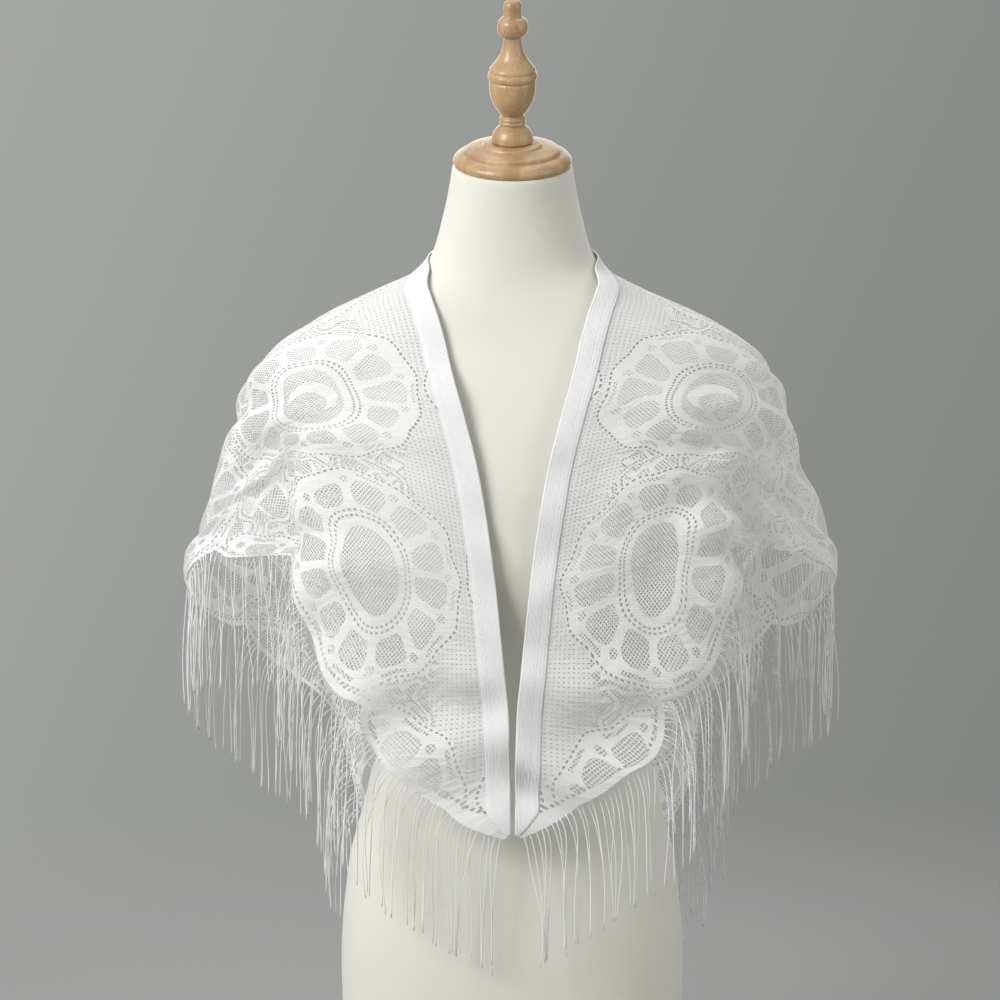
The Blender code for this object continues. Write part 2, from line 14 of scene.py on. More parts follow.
import bpy
import numpy as np
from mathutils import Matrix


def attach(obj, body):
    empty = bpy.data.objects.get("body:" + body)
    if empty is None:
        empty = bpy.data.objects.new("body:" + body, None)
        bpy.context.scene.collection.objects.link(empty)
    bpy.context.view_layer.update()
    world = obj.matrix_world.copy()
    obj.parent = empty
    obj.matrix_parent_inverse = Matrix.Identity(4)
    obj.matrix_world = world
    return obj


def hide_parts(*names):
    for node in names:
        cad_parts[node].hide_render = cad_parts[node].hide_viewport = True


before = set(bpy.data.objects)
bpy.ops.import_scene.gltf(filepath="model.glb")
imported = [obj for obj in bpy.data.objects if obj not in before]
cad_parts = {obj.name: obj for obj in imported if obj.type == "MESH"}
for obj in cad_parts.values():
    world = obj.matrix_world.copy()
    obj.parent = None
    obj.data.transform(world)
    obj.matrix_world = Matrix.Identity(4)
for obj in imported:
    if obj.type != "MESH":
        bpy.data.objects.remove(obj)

log = logging.getLogger("lace_shawl")

ROOT = "root"
TAU = math.tau
MM = 0.001
SEED = 20


class Side(Enum):
    """A side of the shawl, named as the hem's columns are."""

    RIGHT = "right"
    LEFT = "left"

    @property
    def sign(self) -> int:
        """The sign of s on this side."""
        return 1 if self is Side.RIGHT else -1


class Section(NamedTuple):
    """One level cut through the form, about its middle line."""

    height: float
    half_width: float
    front: float
    back: float
    centre_y: float
    roundness: float


class Ring(NamedTuple):
    """One level cut through the hanging cloth, before its folds."""

    height: float
    half_width: float
    front: float
    back: float
    back_roundness: float


class Fold(NamedTuple):
    """A trough (negative depth) or ridge that runs down the cloth and opens out downwards."""

    name: str
    azimuth: float
    half_width: float
    depth: float
    top: float
    full: float


class EdgeRow(NamedTuple):
    """A place on the long edge, from the nape over the neck's side to the front tip."""

    azimuth: float
    height: float


class HemRow(NamedTuple):
    """A place on the hem, from the front tip to the back tip, a little uneven left and right."""

    azimuth: float
    right: float
    left: float


class Lay(NamedTuple):
    """How a line of constant s runs: how far its turn leads, how late it falls, and its rise."""

    s: float
    turn: float
    fall: float
    rise: float


class TurnRow(NamedTuple):
    """A point of a turned outline, in millimetres from the cap's underside."""

    radius: float
    height: float


class Lamp(NamedTuple):
    """A square soft light: its place, its side and its power in watts."""

    name: str
    place: tuple
    size: float
    power: float


FORM_SECTIONS = (
    Section(0.000, 0.138, 0.093, 0.100, 0.000, 2.1),
    Section(0.004, 0.144, 0.099, 0.106, 0.000, 2.1),
    Section(0.014, 0.146, 0.101, 0.108, 0.000, 2.1),
    Section(0.100, 0.151, 0.104, 0.113, 0.000, 2.15),
    Section(0.215, 0.155, 0.105, 0.118, 0.000, 2.2),
    Section(0.300, 0.148, 0.100, 0.109, 0.000, 2.15),
    Section(0.360, 0.133, 0.094, 0.095, 0.000, 2.1),
    Section(0.415, 0.121, 0.090, 0.085, 0.000, 2.1),
    Section(0.470, 0.126, 0.095, 0.086, 0.000, 2.15),
    Section(0.530, 0.140, 0.108, 0.093, 0.000, 2.25),
    Section(0.590, 0.152, 0.119, 0.101, 0.000, 2.3),
    Section(0.640, 0.157, 0.116, 0.106, 0.000, 2.3),
    Section(0.690, 0.166, 0.105, 0.107, 0.000, 2.35),
    Section(0.730, 0.183, 0.092, 0.103, 0.000, 2.35),
    Section(0.752, 0.194, 0.084, 0.098, 0.000, 2.35),
    Section(0.768, 0.195, 0.078, 0.094, 0.000, 2.3),
    Section(0.780, 0.185, 0.074, 0.091, 0.000, 2.25),
    Section(0.792, 0.166, 0.071, 0.087, 0.000, 2.2),
    Section(0.806, 0.137, 0.067, 0.082, -0.001, 2.1),
    Section(0.822, 0.105, 0.063, 0.074, -0.002, 2.05),
    Section(0.838, 0.081, 0.060, 0.066, -0.004, 2.0),
    Section(0.854, 0.0705, 0.058, 0.060, -0.007, 2.0),
    Section(0.880, 0.0630, 0.056, 0.057, -0.012, 2.0),
    Section(0.905, 0.0572, 0.054, 0.055, -0.018, 2.0),
    Section(0.931, 0.0528, 0.0528, 0.0528, -0.025, 2.0),
)

CLOTH_RINGS = (
    Ring(0.200, 0.250, 0.126, 0.146, 3.0),
    Ring(0.300, 0.252, 0.127, 0.145, 3.0),
    Ring(0.380, 0.256, 0.129, 0.143, 3.0),
    Ring(0.450, 0.268, 0.131, 0.140, 3.0),
    Ring(0.500, 0.283, 0.131, 0.136, 2.9),
    Ring(0.576, 0.297, 0.129, 0.131, 2.6),
    Ring(0.640, 0.277, 0.123, 0.125, 2.4),
    Ring(0.700, 0.254, 0.112, 0.118, 2.3),
    Ring(0.735, 0.238, 0.100, 0.111, 2.25),
    Ring(0.757, 0.224, 0.090, 0.105, 2.2),
    Ring(0.780, 0.199, 0.080, 0.098, 2.2),
    Ring(0.800, 0.160, 0.074, 0.091, 2.1),
    Ring(0.822, 0.114, 0.067, 0.080, 2.0),
    Ring(0.844, 0.074, 0.060, 0.067, 2.0),
    Ring(0.880, 0.062, 0.055, 0.058, 2.0),
)

FOLDS = (
    Fold("right side valley", 80, 11, -0.076, 0.735, 0.590),
    Fold("right wing roll", 97, 9, 0.008, 0.700, 0.560),
    Fold("right back hollow", 115, 8, -0.012, 0.690, 0.500),
    Fold("right back ridge", 133, 9, 0.010, 0.640, 0.420),
    Fold("right middle hollow", 152, 10, -0.011, 0.600, 0.360),
    Fold("spine ridge", 171, 9, 0.009, 0.560, 0.300),
    Fold("left middle hollow", -168, 10, -0.010, 0.600, 0.340),
    Fold("left back ridge", -149, 10, 0.012, 0.660, 0.400),
    Fold("left back hollow", -129, 8, -0.011, 0.640, 0.480),
    Fold("left wing roll", -98, 9, 0.008, 0.700, 0.540),
    Fold("left side valley", -79, 11, -0.078, 0.740, 0.590),
    Fold("right front ridge", 51, 8, 0.005, 0.640, 0.520),
    Fold("left front ridge", -47, 9, 0.006, 0.660, 0.500),
)

LONG_EDGE = (
    EdgeRow(180.0, 0.866),
    EdgeRow(150.0, 0.864),
    EdgeRow(118.0, 0.858),
    EdgeRow(92.0, 0.851),
    EdgeRow(72.0, 0.842),
    EdgeRow(57.0, 0.826),
    EdgeRow(45.5, 0.805),
    EdgeRow(31.0, 0.755),
    EdgeRow(21.0, 0.712),
    EdgeRow(14.2, 0.668),
    EdgeRow(9.6, 0.618),
    EdgeRow(6.6, 0.570),
    EdgeRow(3.4, 0.500),
    EdgeRow(1.4, 0.450),
    EdgeRow(0.9, 0.400),
    EdgeRow(0.9, 0.346),
)

HEM = (
    HemRow(0.9, 0.344, 0.344),
    HemRow(16.0, 0.360, 0.356),
    HemRow(31.0, 0.384, 0.378),
    HemRow(38.0, 0.403, 0.400),
    HemRow(44.0, 0.416, 0.424),
    HemRow(50.0, 0.448, 0.452),
    HemRow(55.5, 0.497, 0.505),
    HemRow(61.0, 0.545, 0.548),
    HemRow(68.0, 0.574, 0.570),
    HemRow(79.0, 0.594, 0.586),
    HemRow(89.0, 0.582, 0.578),
    HemRow(96.0, 0.560, 0.564),
    HemRow(104.0, 0.520, 0.524),
    HemRow(112.0, 0.487, 0.486),
    HemRow(119.0, 0.458, 0.460),
    HemRow(123.5, 0.432, 0.436),
    HemRow(127.5, 0.382, 0.392),
    HemRow(132.0, 0.332, 0.340),
    HemRow(138.5, 0.298, 0.300),
    HemRow(158.0, 0.240, 0.242),
    HemRow(180.0, 0.204, 0.204),
)

LAYS = (
    Lay(0.00, 2.4, 1.0, 0.000),
    Lay(0.06, 1.9, 1.4, 0.000),
    Lay(0.12, 1.45, 1.8, 0.000),
    Lay(0.20, 1.15, 2.6, 0.010),
    Lay(0.30, 1.0, 4.0, 0.020),
    Lay(0.36, 1.0, 6.0, 0.026),
    Lay(0.40, 1.0, 3.0, 0.026),
    Lay(0.44, 1.0, 0.9, 0.012),
    Lay(0.50, 1.0, 1.0, 0.000),
    Lay(0.66, 1.0, 1.0, 0.000),
)

CAP_OUTLINE = (
    TurnRow(50.6, 0.0),
    TurnRow(52.2, 1.2),
    TurnRow(52.6, 3.6),
    TurnRow(51.6, 6.4),
    TurnRow(48.6, 9.2),
    TurnRow(44.4, 11.0),
    TurnRow(42.6, 11.2),
    TurnRow(42.4, 13.0),
    TurnRow(41.2, 14.4),
    TurnRow(37.0, 15.8),
    TurnRow(31.5, 16.8),
    TurnRow(26.8, 17.2),
    TurnRow(26.2, 18.4),
    TurnRow(24.8, 19.4),
    TurnRow(21.0, 20.0),
)

FINIAL_OUTLINE = (
    TurnRow(17.4, 20.3),
    TurnRow(18.4, 22.0),
    TurnRow(18.2, 25.2),
    TurnRow(17.0, 29.0),
    TurnRow(14.8, 32.4),
    TurnRow(11.8, 35.2),
    TurnRow(10.7, 36.2),
    TurnRow(11.8, 37.6),
    TurnRow(11.5, 39.4),
    TurnRow(10.9, 40.1),
    TurnRow(11.7, 41.2),
    TurnRow(11.2, 43.0),
    TurnRow(9.6, 44.6),
    TurnRow(11.0, 46.4),
    TurnRow(14.0, 50.4),
    TurnRow(17.0, 55.4),
    TurnRow(19.2, 61.0),
    TurnRow(20.4, 68.0),
    TurnRow(20.6, 74.6),
    TurnRow(19.8, 76.4),
    TurnRow(21.2, 77.8),
    TurnRow(21.9, 80.4),
    TurnRow(21.3, 83.0),
    TurnRow(20.2, 84.2),
    TurnRow(20.3, 86.0),
    TurnRow(17.6, 90.4),
    TurnRow(13.6, 95.4),
    TurnRow(10.8, 100.4),
    TurnRow(8.9, 106.4),
    TurnRow(7.9, 112.0),
    TurnRow(7.7, 115.0),
    TurnRow(10.2, 116.4),
    TurnRow(12.6, 119.2),
    TurnRow(13.6, 123.6),
    TurnRow(13.2, 127.8),
    TurnRow(11.0, 131.6),
    TurnRow(8.0, 133.6),
    TurnRow(7.8, 136.0),
    TurnRow(7.9, 142.0),
    TurnRow(7.0, 145.8),
    TurnRow(4.2, 148.0),
    TurnRow(0.0, 148.6),
)

LAMPS = (
    Lamp("key", (-1.9, -1.7, 1.9), 1.3, 72.0),
    Lamp("fill", (2.5, -1.1, 1.1), 1.8, 25.0),
    Lamp("top", (0.1, 0.4, 2.6), 1.6, 14.0),
    Lamp("back", (0.0, 2.6, 1.2), 2.4, 36.0),
)


def through(xs: Sequence[float], ys: Sequence[float], at: np.ndarray) -> np.ndarray:
    """A smooth curve through points that never overshoots them.

    Args:
        xs: The points' places, rising.
        ys: The points' values.
        at: The places to read the curve at.

    Returns:
        The curve's values at those places.
    """
    xs = np.asarray(xs, float)
    ys = np.asarray(ys, float)
    step = np.diff(xs)
    slope = np.diff(ys) / step
    tangent = np.zeros(len(xs))
    level = slope[:-1] * slope[1:] <= 0
    before = 2 * step[1:] + step[:-1]
    after = step[1:] + 2 * step[:-1]
    safe_low = np.where(level, 1.0, slope[:-1])
    safe_high = np.where(level, 1.0, slope[1:])
    tangent[1:-1] = np.where(level, 0.0, (before + after) / (before / safe_low + after / safe_high))
    tangent[0] = slope[0]
    tangent[-1] = slope[-1]
    at = np.clip(at, xs[0], xs[-1])
    cell = np.clip(np.searchsorted(xs, at, side="right") - 1, 0, len(xs) - 2)
    width = step[cell]
    u = (at - xs[cell]) / width
    low = ys[cell] * (1 + 2 * u) * (1 - u) ** 2 + ys[cell + 1] * u**2 * (3 - 2 * u)
    return low + width * (tangent[cell] * u * (1 - u) ** 2 + tangent[cell + 1] * u**2 * (u - 1))


def column(rows: Sequence[NamedTuple], name: str, at: np.ndarray) -> np.ndarray:
    """A table's named column as a smooth curve over its first column."""
    return through([row[0] for row in rows], [getattr(row, name) for row in rows], at)


def smooth_step(value: np.ndarray) -> np.ndarray:
    """0 below 0, 1 above 1, and an even S between them."""
    value = np.clip(value, 0.0, 1.0)
    return value * value * (3 - 2 * value)


def oval(
    azimuth: np.ndarray,
    half_width: np.ndarray,
    front: np.ndarray,
    back: np.ndarray,
    front_roundness: np.ndarray,
    back_roundness: np.ndarray,
) -> np.ndarray:
    """Distance from the middle line to an oval that is deeper on one side than on the other."""
    across = np.abs(np.sin(azimuth)) / half_width
    along = np.abs(np.cos(azimuth)) / np.where(np.cos(azimuth) > 0, front, back)
    power = np.where(np.cos(azimuth) > 0, front_roundness, back_roundness)
    return (across**power + along**power) ** (-1.0 / power)


@dataclass
class Figure:
    """The form's own surface and the surface of the cloth that hangs over it.

    Attributes:
        clearance: The least room between the form and the cloth.
        softness: How gently the cloth leaves the form.
    """

    clearance: float = 0.0012
    softness: float = 0.003

    def form_radius(self, azimuth: np.ndarray, height: np.ndarray) -> np.ndarray:
        """Distance from the middle line to the form's surface."""
        roundness = column(FORM_SECTIONS, "roundness", height)
        return oval(
            azimuth,
            column(FORM_SECTIONS, "half_width", height),
            column(FORM_SECTIONS, "front", height),
            column(FORM_SECTIONS, "back", height),
            roundness,
            roundness,
        )

    def fold_height(self, azimuth: np.ndarray, height: np.ndarray) -> np.ndarray:
        """How far the folds push the cloth outwards."""
        total = np.zeros(np.broadcast(azimuth, height).shape)
        for fold in FOLDS:
            turned = np.degrees(azimuth) - fold.azimuth
            apart = np.abs((turned + 180) % 360 - 180) / fold.half_width
            opened = smooth_step((fold.top - height) / (fold.top - fold.full))
            total += fold.depth * np.exp(-(apart**2)) * opened
        return total

    def cloth_radius(self, azimuth: np.ndarray, height: np.ndarray) -> np.ndarray:
        """Distance from the middle line to the cloth: on the form, or hanging clear of it."""
        hanging = oval(
            azimuth,
            column(CLOTH_RINGS, "half_width", height),
            column(CLOTH_RINGS, "front", height),
            column(CLOTH_RINGS, "back", height),
            2.1,
            column(CLOTH_RINGS, "back_roundness", height),
        )
        hanging = hanging + self.fold_height(azimuth, height)
        resting = self.form_radius(azimuth, height) + self.clearance
        return (hanging + resting + np.sqrt((hanging - resting) ** 2 + self.softness**2)) / 2

    def around(self, azimuth: np.ndarray, height: np.ndarray, radius: np.ndarray) -> np.ndarray:
        """The point at an azimuth, height and distance from the form's middle line."""
        centre = column(FORM_SECTIONS, "centre_y", height)
        parts = np.broadcast_arrays(radius * np.sin(azimuth), centre - radius * np.cos(azimuth), height)
        return np.stack(parts, axis=-1)

    def on_cloth(self, azimuth: np.ndarray, height: np.ndarray) -> np.ndarray:
        """The point of the cloth at an azimuth and height."""
        return self.around(azimuth, height, self.cloth_radius(azimuth, height))

    def kept_off(self, points: np.ndarray, room: float) -> np.ndarray:
        """The points moved out from the middle line to where they clear the form by the given room."""
        centre = column(FORM_SECTIONS, "centre_y", points[..., 2])
        across = points[..., 0]
        along = centre - points[..., 1]
        azimuth = np.arctan2(across, along)
        reach = np.hypot(across, along)
        least = self.form_radius(azimuth, points[..., 2]) + room
        return self.around(azimuth, points[..., 2], np.maximum(reach, least))


@dataclass
class FlatCut:
    """The shawl as it is cut: a triangle with a band on its long edge and a scalloped hem.

    Attributes:
        edge: The long edge, from tip to tip.
        depth: From the long edge's middle to the back tip.
        band: The knitted band's width.
        cell_s: The lace repeat along the long edge.
        cell_t: The lace repeat across it.
        first_row: How far in from the long edge the first row of rosettes is centred.
        rosette: The big rosettes' radius out to the hem.
        filler: The radius of the scallop between two big rosettes.
        filler_sunk: How far in from the plain hem that scallop is centred.
        band_share: The band's share of the cloth at a tip.
        scallop_share: How much of their full swell the scallops keep.
        scallop_drawn: How far in the scalloped hem is drawn as a whole.
    """

    edge: float = 1.32
    depth: float = 0.64
    band: float = 0.022
    cell_s: float = 0.176
    cell_t: float = 0.170
    first_row: float = 0.112
    rosette: float = 0.092
    filler: float = 0.075
    filler_sunk: float = 0.063
    band_share: float = 0.77
    scallop_share: float = 0.75
    scallop_drawn: float = 0.003

    def __post_init__(self) -> None:
        """Works out the hem's direction and length."""
        half = self.edge / 2
        self.hem_length = math.hypot(half, self.depth)
        self.cos = half / self.hem_length
        self.sin = self.depth / self.hem_length

    def hem_depth(self, s: np.ndarray) -> np.ndarray:
        """How far the plain triangle reaches from the long edge at s."""
        return self.depth * (1 - np.abs(s) / (self.edge / 2))

    def band_depth(self, s: np.ndarray) -> np.ndarray:
        """How far the band reaches from the long edge at s: it narrows into the tips."""
        return np.minimum(self.band, self.band_share * self.hem_depth(s))

    def along_hem(self, s: np.ndarray, t: np.ndarray) -> np.ndarray:
        """The distance along the hem from the front tip."""
        return (self.edge / 2 - np.abs(s)) * self.cos + t * self.sin

    def outside(self, s: np.ndarray, t: np.ndarray) -> np.ndarray:
        """The distance beyond the plain triangle's hem."""
        return (np.abs(s) - self.edge / 2) * self.sin + t * self.cos

    def scallop(self, along: np.ndarray) -> np.ndarray:
        """How far the scalloped hem stands beyond the plain triangle's."""
        centre_s = self.edge / 2 - 2.5 * self.cell_s
        first = centre_s * self.cos + self.first_row * self.sin
        pitch = math.hypot(self.cell_s, self.cell_t)
        sunk = -float(self.outside(2.5 * self.cell_s, self.first_row))
        at_rosette = (along - first + pitch / 2) % pitch - pitch / 2
        at_filler = (along - first) % pitch - pitch / 2
        big = np.sqrt(np.maximum(self.rosette**2 - at_rosette**2, 0)) - sunk
        small = np.sqrt(np.maximum(self.filler**2 - at_filler**2, 0)) - self.filler_sunk
        ends = smooth_step((along - 0.02) / 0.16) * smooth_step((self.hem_length - 0.004 - along) / 0.05)
        return (np.maximum(big, small) * self.scallop_share - self.scallop_drawn) * ends

    def inside_hem(self, s: np.ndarray, t: np.ndarray) -> np.ndarray:
        """The distance in from the scalloped hem, square to the plain one."""
        return self.scallop(self.along_hem(s, t)) - self.outside(s, t)

    def reach(self, s: float) -> float:
        """How far the cloth reaches from the long edge at s, to the scalloped hem."""
        low = max(0.0, float(self.hem_depth(s)) - 0.035)
        t = np.linspace(low, float(self.hem_depth(s)) + 0.035, 141)
        inside = self.inside_hem(np.full(t.shape, s), t)
        beyond = np.flatnonzero(inside < 0)
        if len(beyond) == 0 or beyond[0] == 0:
            return float(self.hem_depth(s))
        k = beyond[0]
        share = inside[k - 1] / (inside[k - 1] - inside[k])
        return float(t[k - 1] + (t[k] - t[k - 1]) * share)


@dataclass
class Drape:
    """The flat cut laid over the form: where each of its points comes to rest.

    Attributes:
        figure: The form and the surface that the cloth hangs in.
        cut: The flat cut.
        path_steps: Points on each line's path before it is read by length.
        table_steps: Points on the long edge's and the hem's paths.
        spare: How far each line runs on past the plain hem, for the scallops.
    """

    figure: Figure
    cut: FlatCut
    path_steps: int = 80
    table_steps: int = 600
    spare: float = 0.05

    def __post_init__(self) -> None:
        """Reads the long edge and the hem by their true length."""
        self.edge_path = self._measured(LONG_EDGE, "height")
        self.hem_paths = {side: self._measured(HEM, side.value) for side in Side}

    def _measured(self, rows: Sequence[NamedTuple], name: str) -> tuple:
        """A table's path as its share of length, azimuths and heights."""
        places = np.arange(len(rows))
        fine = np.linspace(0, places[-1], self.table_steps)
        azimuths = np.radians(through(places, [row.azimuth for row in rows], fine))
        heights = through(places, [getattr(row, name) for row in rows], fine)
        run = running_length(self.figure.on_cloth(azimuths, heights))
        return run / run[-1], azimuths, heights

    def path(self, s: float) -> tuple:
        """The azimuths, heights and running length of the line of constant s, past the hem.

        Args:
            s: The line's place on the long edge.

        Returns:
            The azimuths, the heights, the running length, and its whole up to the plain hem.
        """
        side = Side.RIGHT if s >= 0 else Side.LEFT
        share = abs(s) / (self.cut.edge / 2)
        edge, hem = self.edge_path, self.hem_paths[side]
        edge_azimuth, edge_height = (np.interp(share, edge[0], x) for x in edge[1:])
        hem_azimuth, hem_height = (np.interp(1 - share, hem[0], x) for x in hem[1:])
        turn, fall, rise = (column(LAYS, name, abs(s)) for name in ("turn", "fall", "rise"))
        run = np.linspace(0, 1, self.path_steps)
        azimuths = edge_azimuth + (hem_azimuth - edge_azimuth) * (1 - (1 - run) ** turn)
        heights = edge_height + (hem_height - edge_height) * run**fall
        heights += rise * np.sin(math.pi * run**1.5)
        whole = float(running_length(self.figure.on_cloth(azimuths, heights))[-1])
        ahead = np.arange(1, 11) / 10 * self.spare / max(whole, 0.004) * (self.path_steps - 1)
        azimuths = np.append(azimuths, azimuths[-1] + (azimuths[-1] - azimuths[-2]) * ahead)
        heights = np.append(heights, heights[-1] + (heights[-1] - heights[-2]) * ahead)
        azimuths = side.sign * azimuths
        run = running_length(self.figure.on_cloth(azimuths, heights))
        return azimuths, heights, run, float(run[self.path_steps - 1])

    def line(self, s: float, depths: np.ndarray) -> np.ndarray:
        """The points of the line of constant s at the given t."""
        azimuths, heights, run, whole = self.path(s)
        band = float(self.cut.band_depth(s))
        depth = max(float(self.cut.hem_depth(s)), 1e-4)
        depths = np.asarray(depths)
        drawn = np.clip(depths - band, 0.0, depth - band) * (whole - band) / (depth - band)
        wanted = np.minimum(depths, band) + drawn + np.maximum(depths - depth, 0.0)
        return self.figure.on_cloth(np.interp(wanted, run, azimuths), np.interp(wanted, run, heights))

    def ripple(self, s: np.ndarray, t: np.ndarray) -> np.ndarray:
        """Small soft unevenness of hanging lace, from -1 to 1 or so."""
        chance = np.random.default_rng(SEED)
        total = np.zeros(np.broadcast(s, t).shape)
        for _ in range(26):
            length = chance.uniform(0.028, 0.11)
            heading = chance.normal(0.0, 0.65)
            phase = chance.uniform(0, TAU)
            across = s * math.cos(heading) + t * math.sin(heading)
            total += np.sin(TAU * across / length + phase) * length
        return total / 0.26

    def settled(self, s: np.ndarray, t: np.ndarray, points: np.ndarray) -> tuple:
        """The grid with the lace's small ripples, and how free of the form each point hangs, 0 to 1."""
        normals = grid_normals(points)
        centre = column(FORM_SECTIONS, "centre_y", points[..., 2])
        azimuth = np.arctan2(points[..., 0], centre - points[..., 1])
        reach = np.hypot(points[..., 0], centre - points[..., 1])
        free = smooth_step((reach - self.figure.form_radius(azimuth, points[..., 2])) / 0.05)
        heave = self.ripple(s, t) * (0.0006 + 0.0030 * free)
        return self.figure.kept_off(points + normals * heave[..., None], self.figure.clearance), free


def running_length(points: np.ndarray) -> np.ndarray:
    """The running length of a line of points."""
    return np.concatenate([[0.0], np.cumsum(np.linalg.norm(np.diff(points, axis=0), axis=1))])


def grid_normals(grid: np.ndarray) -> np.ndarray:
    """Unit normals of a grid, pointing away from the form; the end lines take their neighbours'."""
    normals = np.cross(np.gradient(grid, axis=0), np.gradient(grid, axis=1))[1:-1]
    normals /= np.maximum(np.linalg.norm(normals, axis=2, keepdims=True), 1e-12)
    return np.concatenate([normals[:1], normals, normals[-1:]])


def unit(vectors: np.ndarray) -> np.ndarray:
    """The vectors at a length of 1."""
    return vectors / np.maximum(np.linalg.norm(vectors, axis=-1, keepdims=True), 1e-12)


def grid_faces(rows: int, columns: int) -> np.ndarray:
    """The quads of a grid of points."""
    i, j = np.meshgrid(np.arange(rows - 1), np.arange(columns - 1), indexing="ij")
    low = i * columns + j
    return np.stack([low, low + columns, low + columns + 1, low + 1], axis=-1).reshape(-1, 4)


def ring_faces(rings: int, sides: int, first: int = 0) -> list:
    """The quads between rings of points that follow each other, from a first point on."""
    faces = []
    for low in range(first, first + (rings - 1) * sides, sides):
        for side in range(sides):
            after = (side + 1) % sides
            faces.append((low + side, low + after, low + sides + after, low + sides + side))
    return faces


def capped_faces(rings: int, sides: int, first: int = 0) -> list:
    """The same, with a flat end on the first ring and on the last."""
    last = first + (rings - 1) * sides
    ends = [tuple(range(first, first + sides))[::-1], tuple(range(last, last + sides))]
    return ring_faces(rings, sides, first) + ends


def make_piece(
    name: str, points: np.ndarray, faces: Sequence, material: bpy.types.Material
) -> bpy.types.Object:
    """A smooth mesh piece that rides on the root and wears the given material.

    Args:
        name: The piece's name.
        points: Its points.
        faces: Its faces, as corners' numbers.
        material: Its material.

    Returns:
        The new object.
    """
    mesh = bpy.data.meshes.new(name)
    corners = [list(map(int, face)) for face in faces]
    mesh.from_pydata(np.asarray(points).reshape(-1, 3).tolist(), [], corners)
    mesh.shade_smooth()
    mesh.materials.append(material)
    piece = bpy.data.objects.new(name, mesh)
    bpy.context.scene.collection.objects.link(piece)
    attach(piece, ROOT)
    return piece


def nodes_named(start: str) -> list:
    """The frame's nodes whose names begin so."""
    return [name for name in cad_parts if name.startswith(start)]


def give_vectors(piece: bpy.types.Object, name: str, vectors: np.ndarray) -> None:
    """Stores a vector for each point of a piece, for its material to read."""
    held = piece.data.attributes.new(name, "FLOAT_VECTOR", "POINT")
    held.data.foreach_set("vector", np.asarray(vectors, np.float32).ravel())


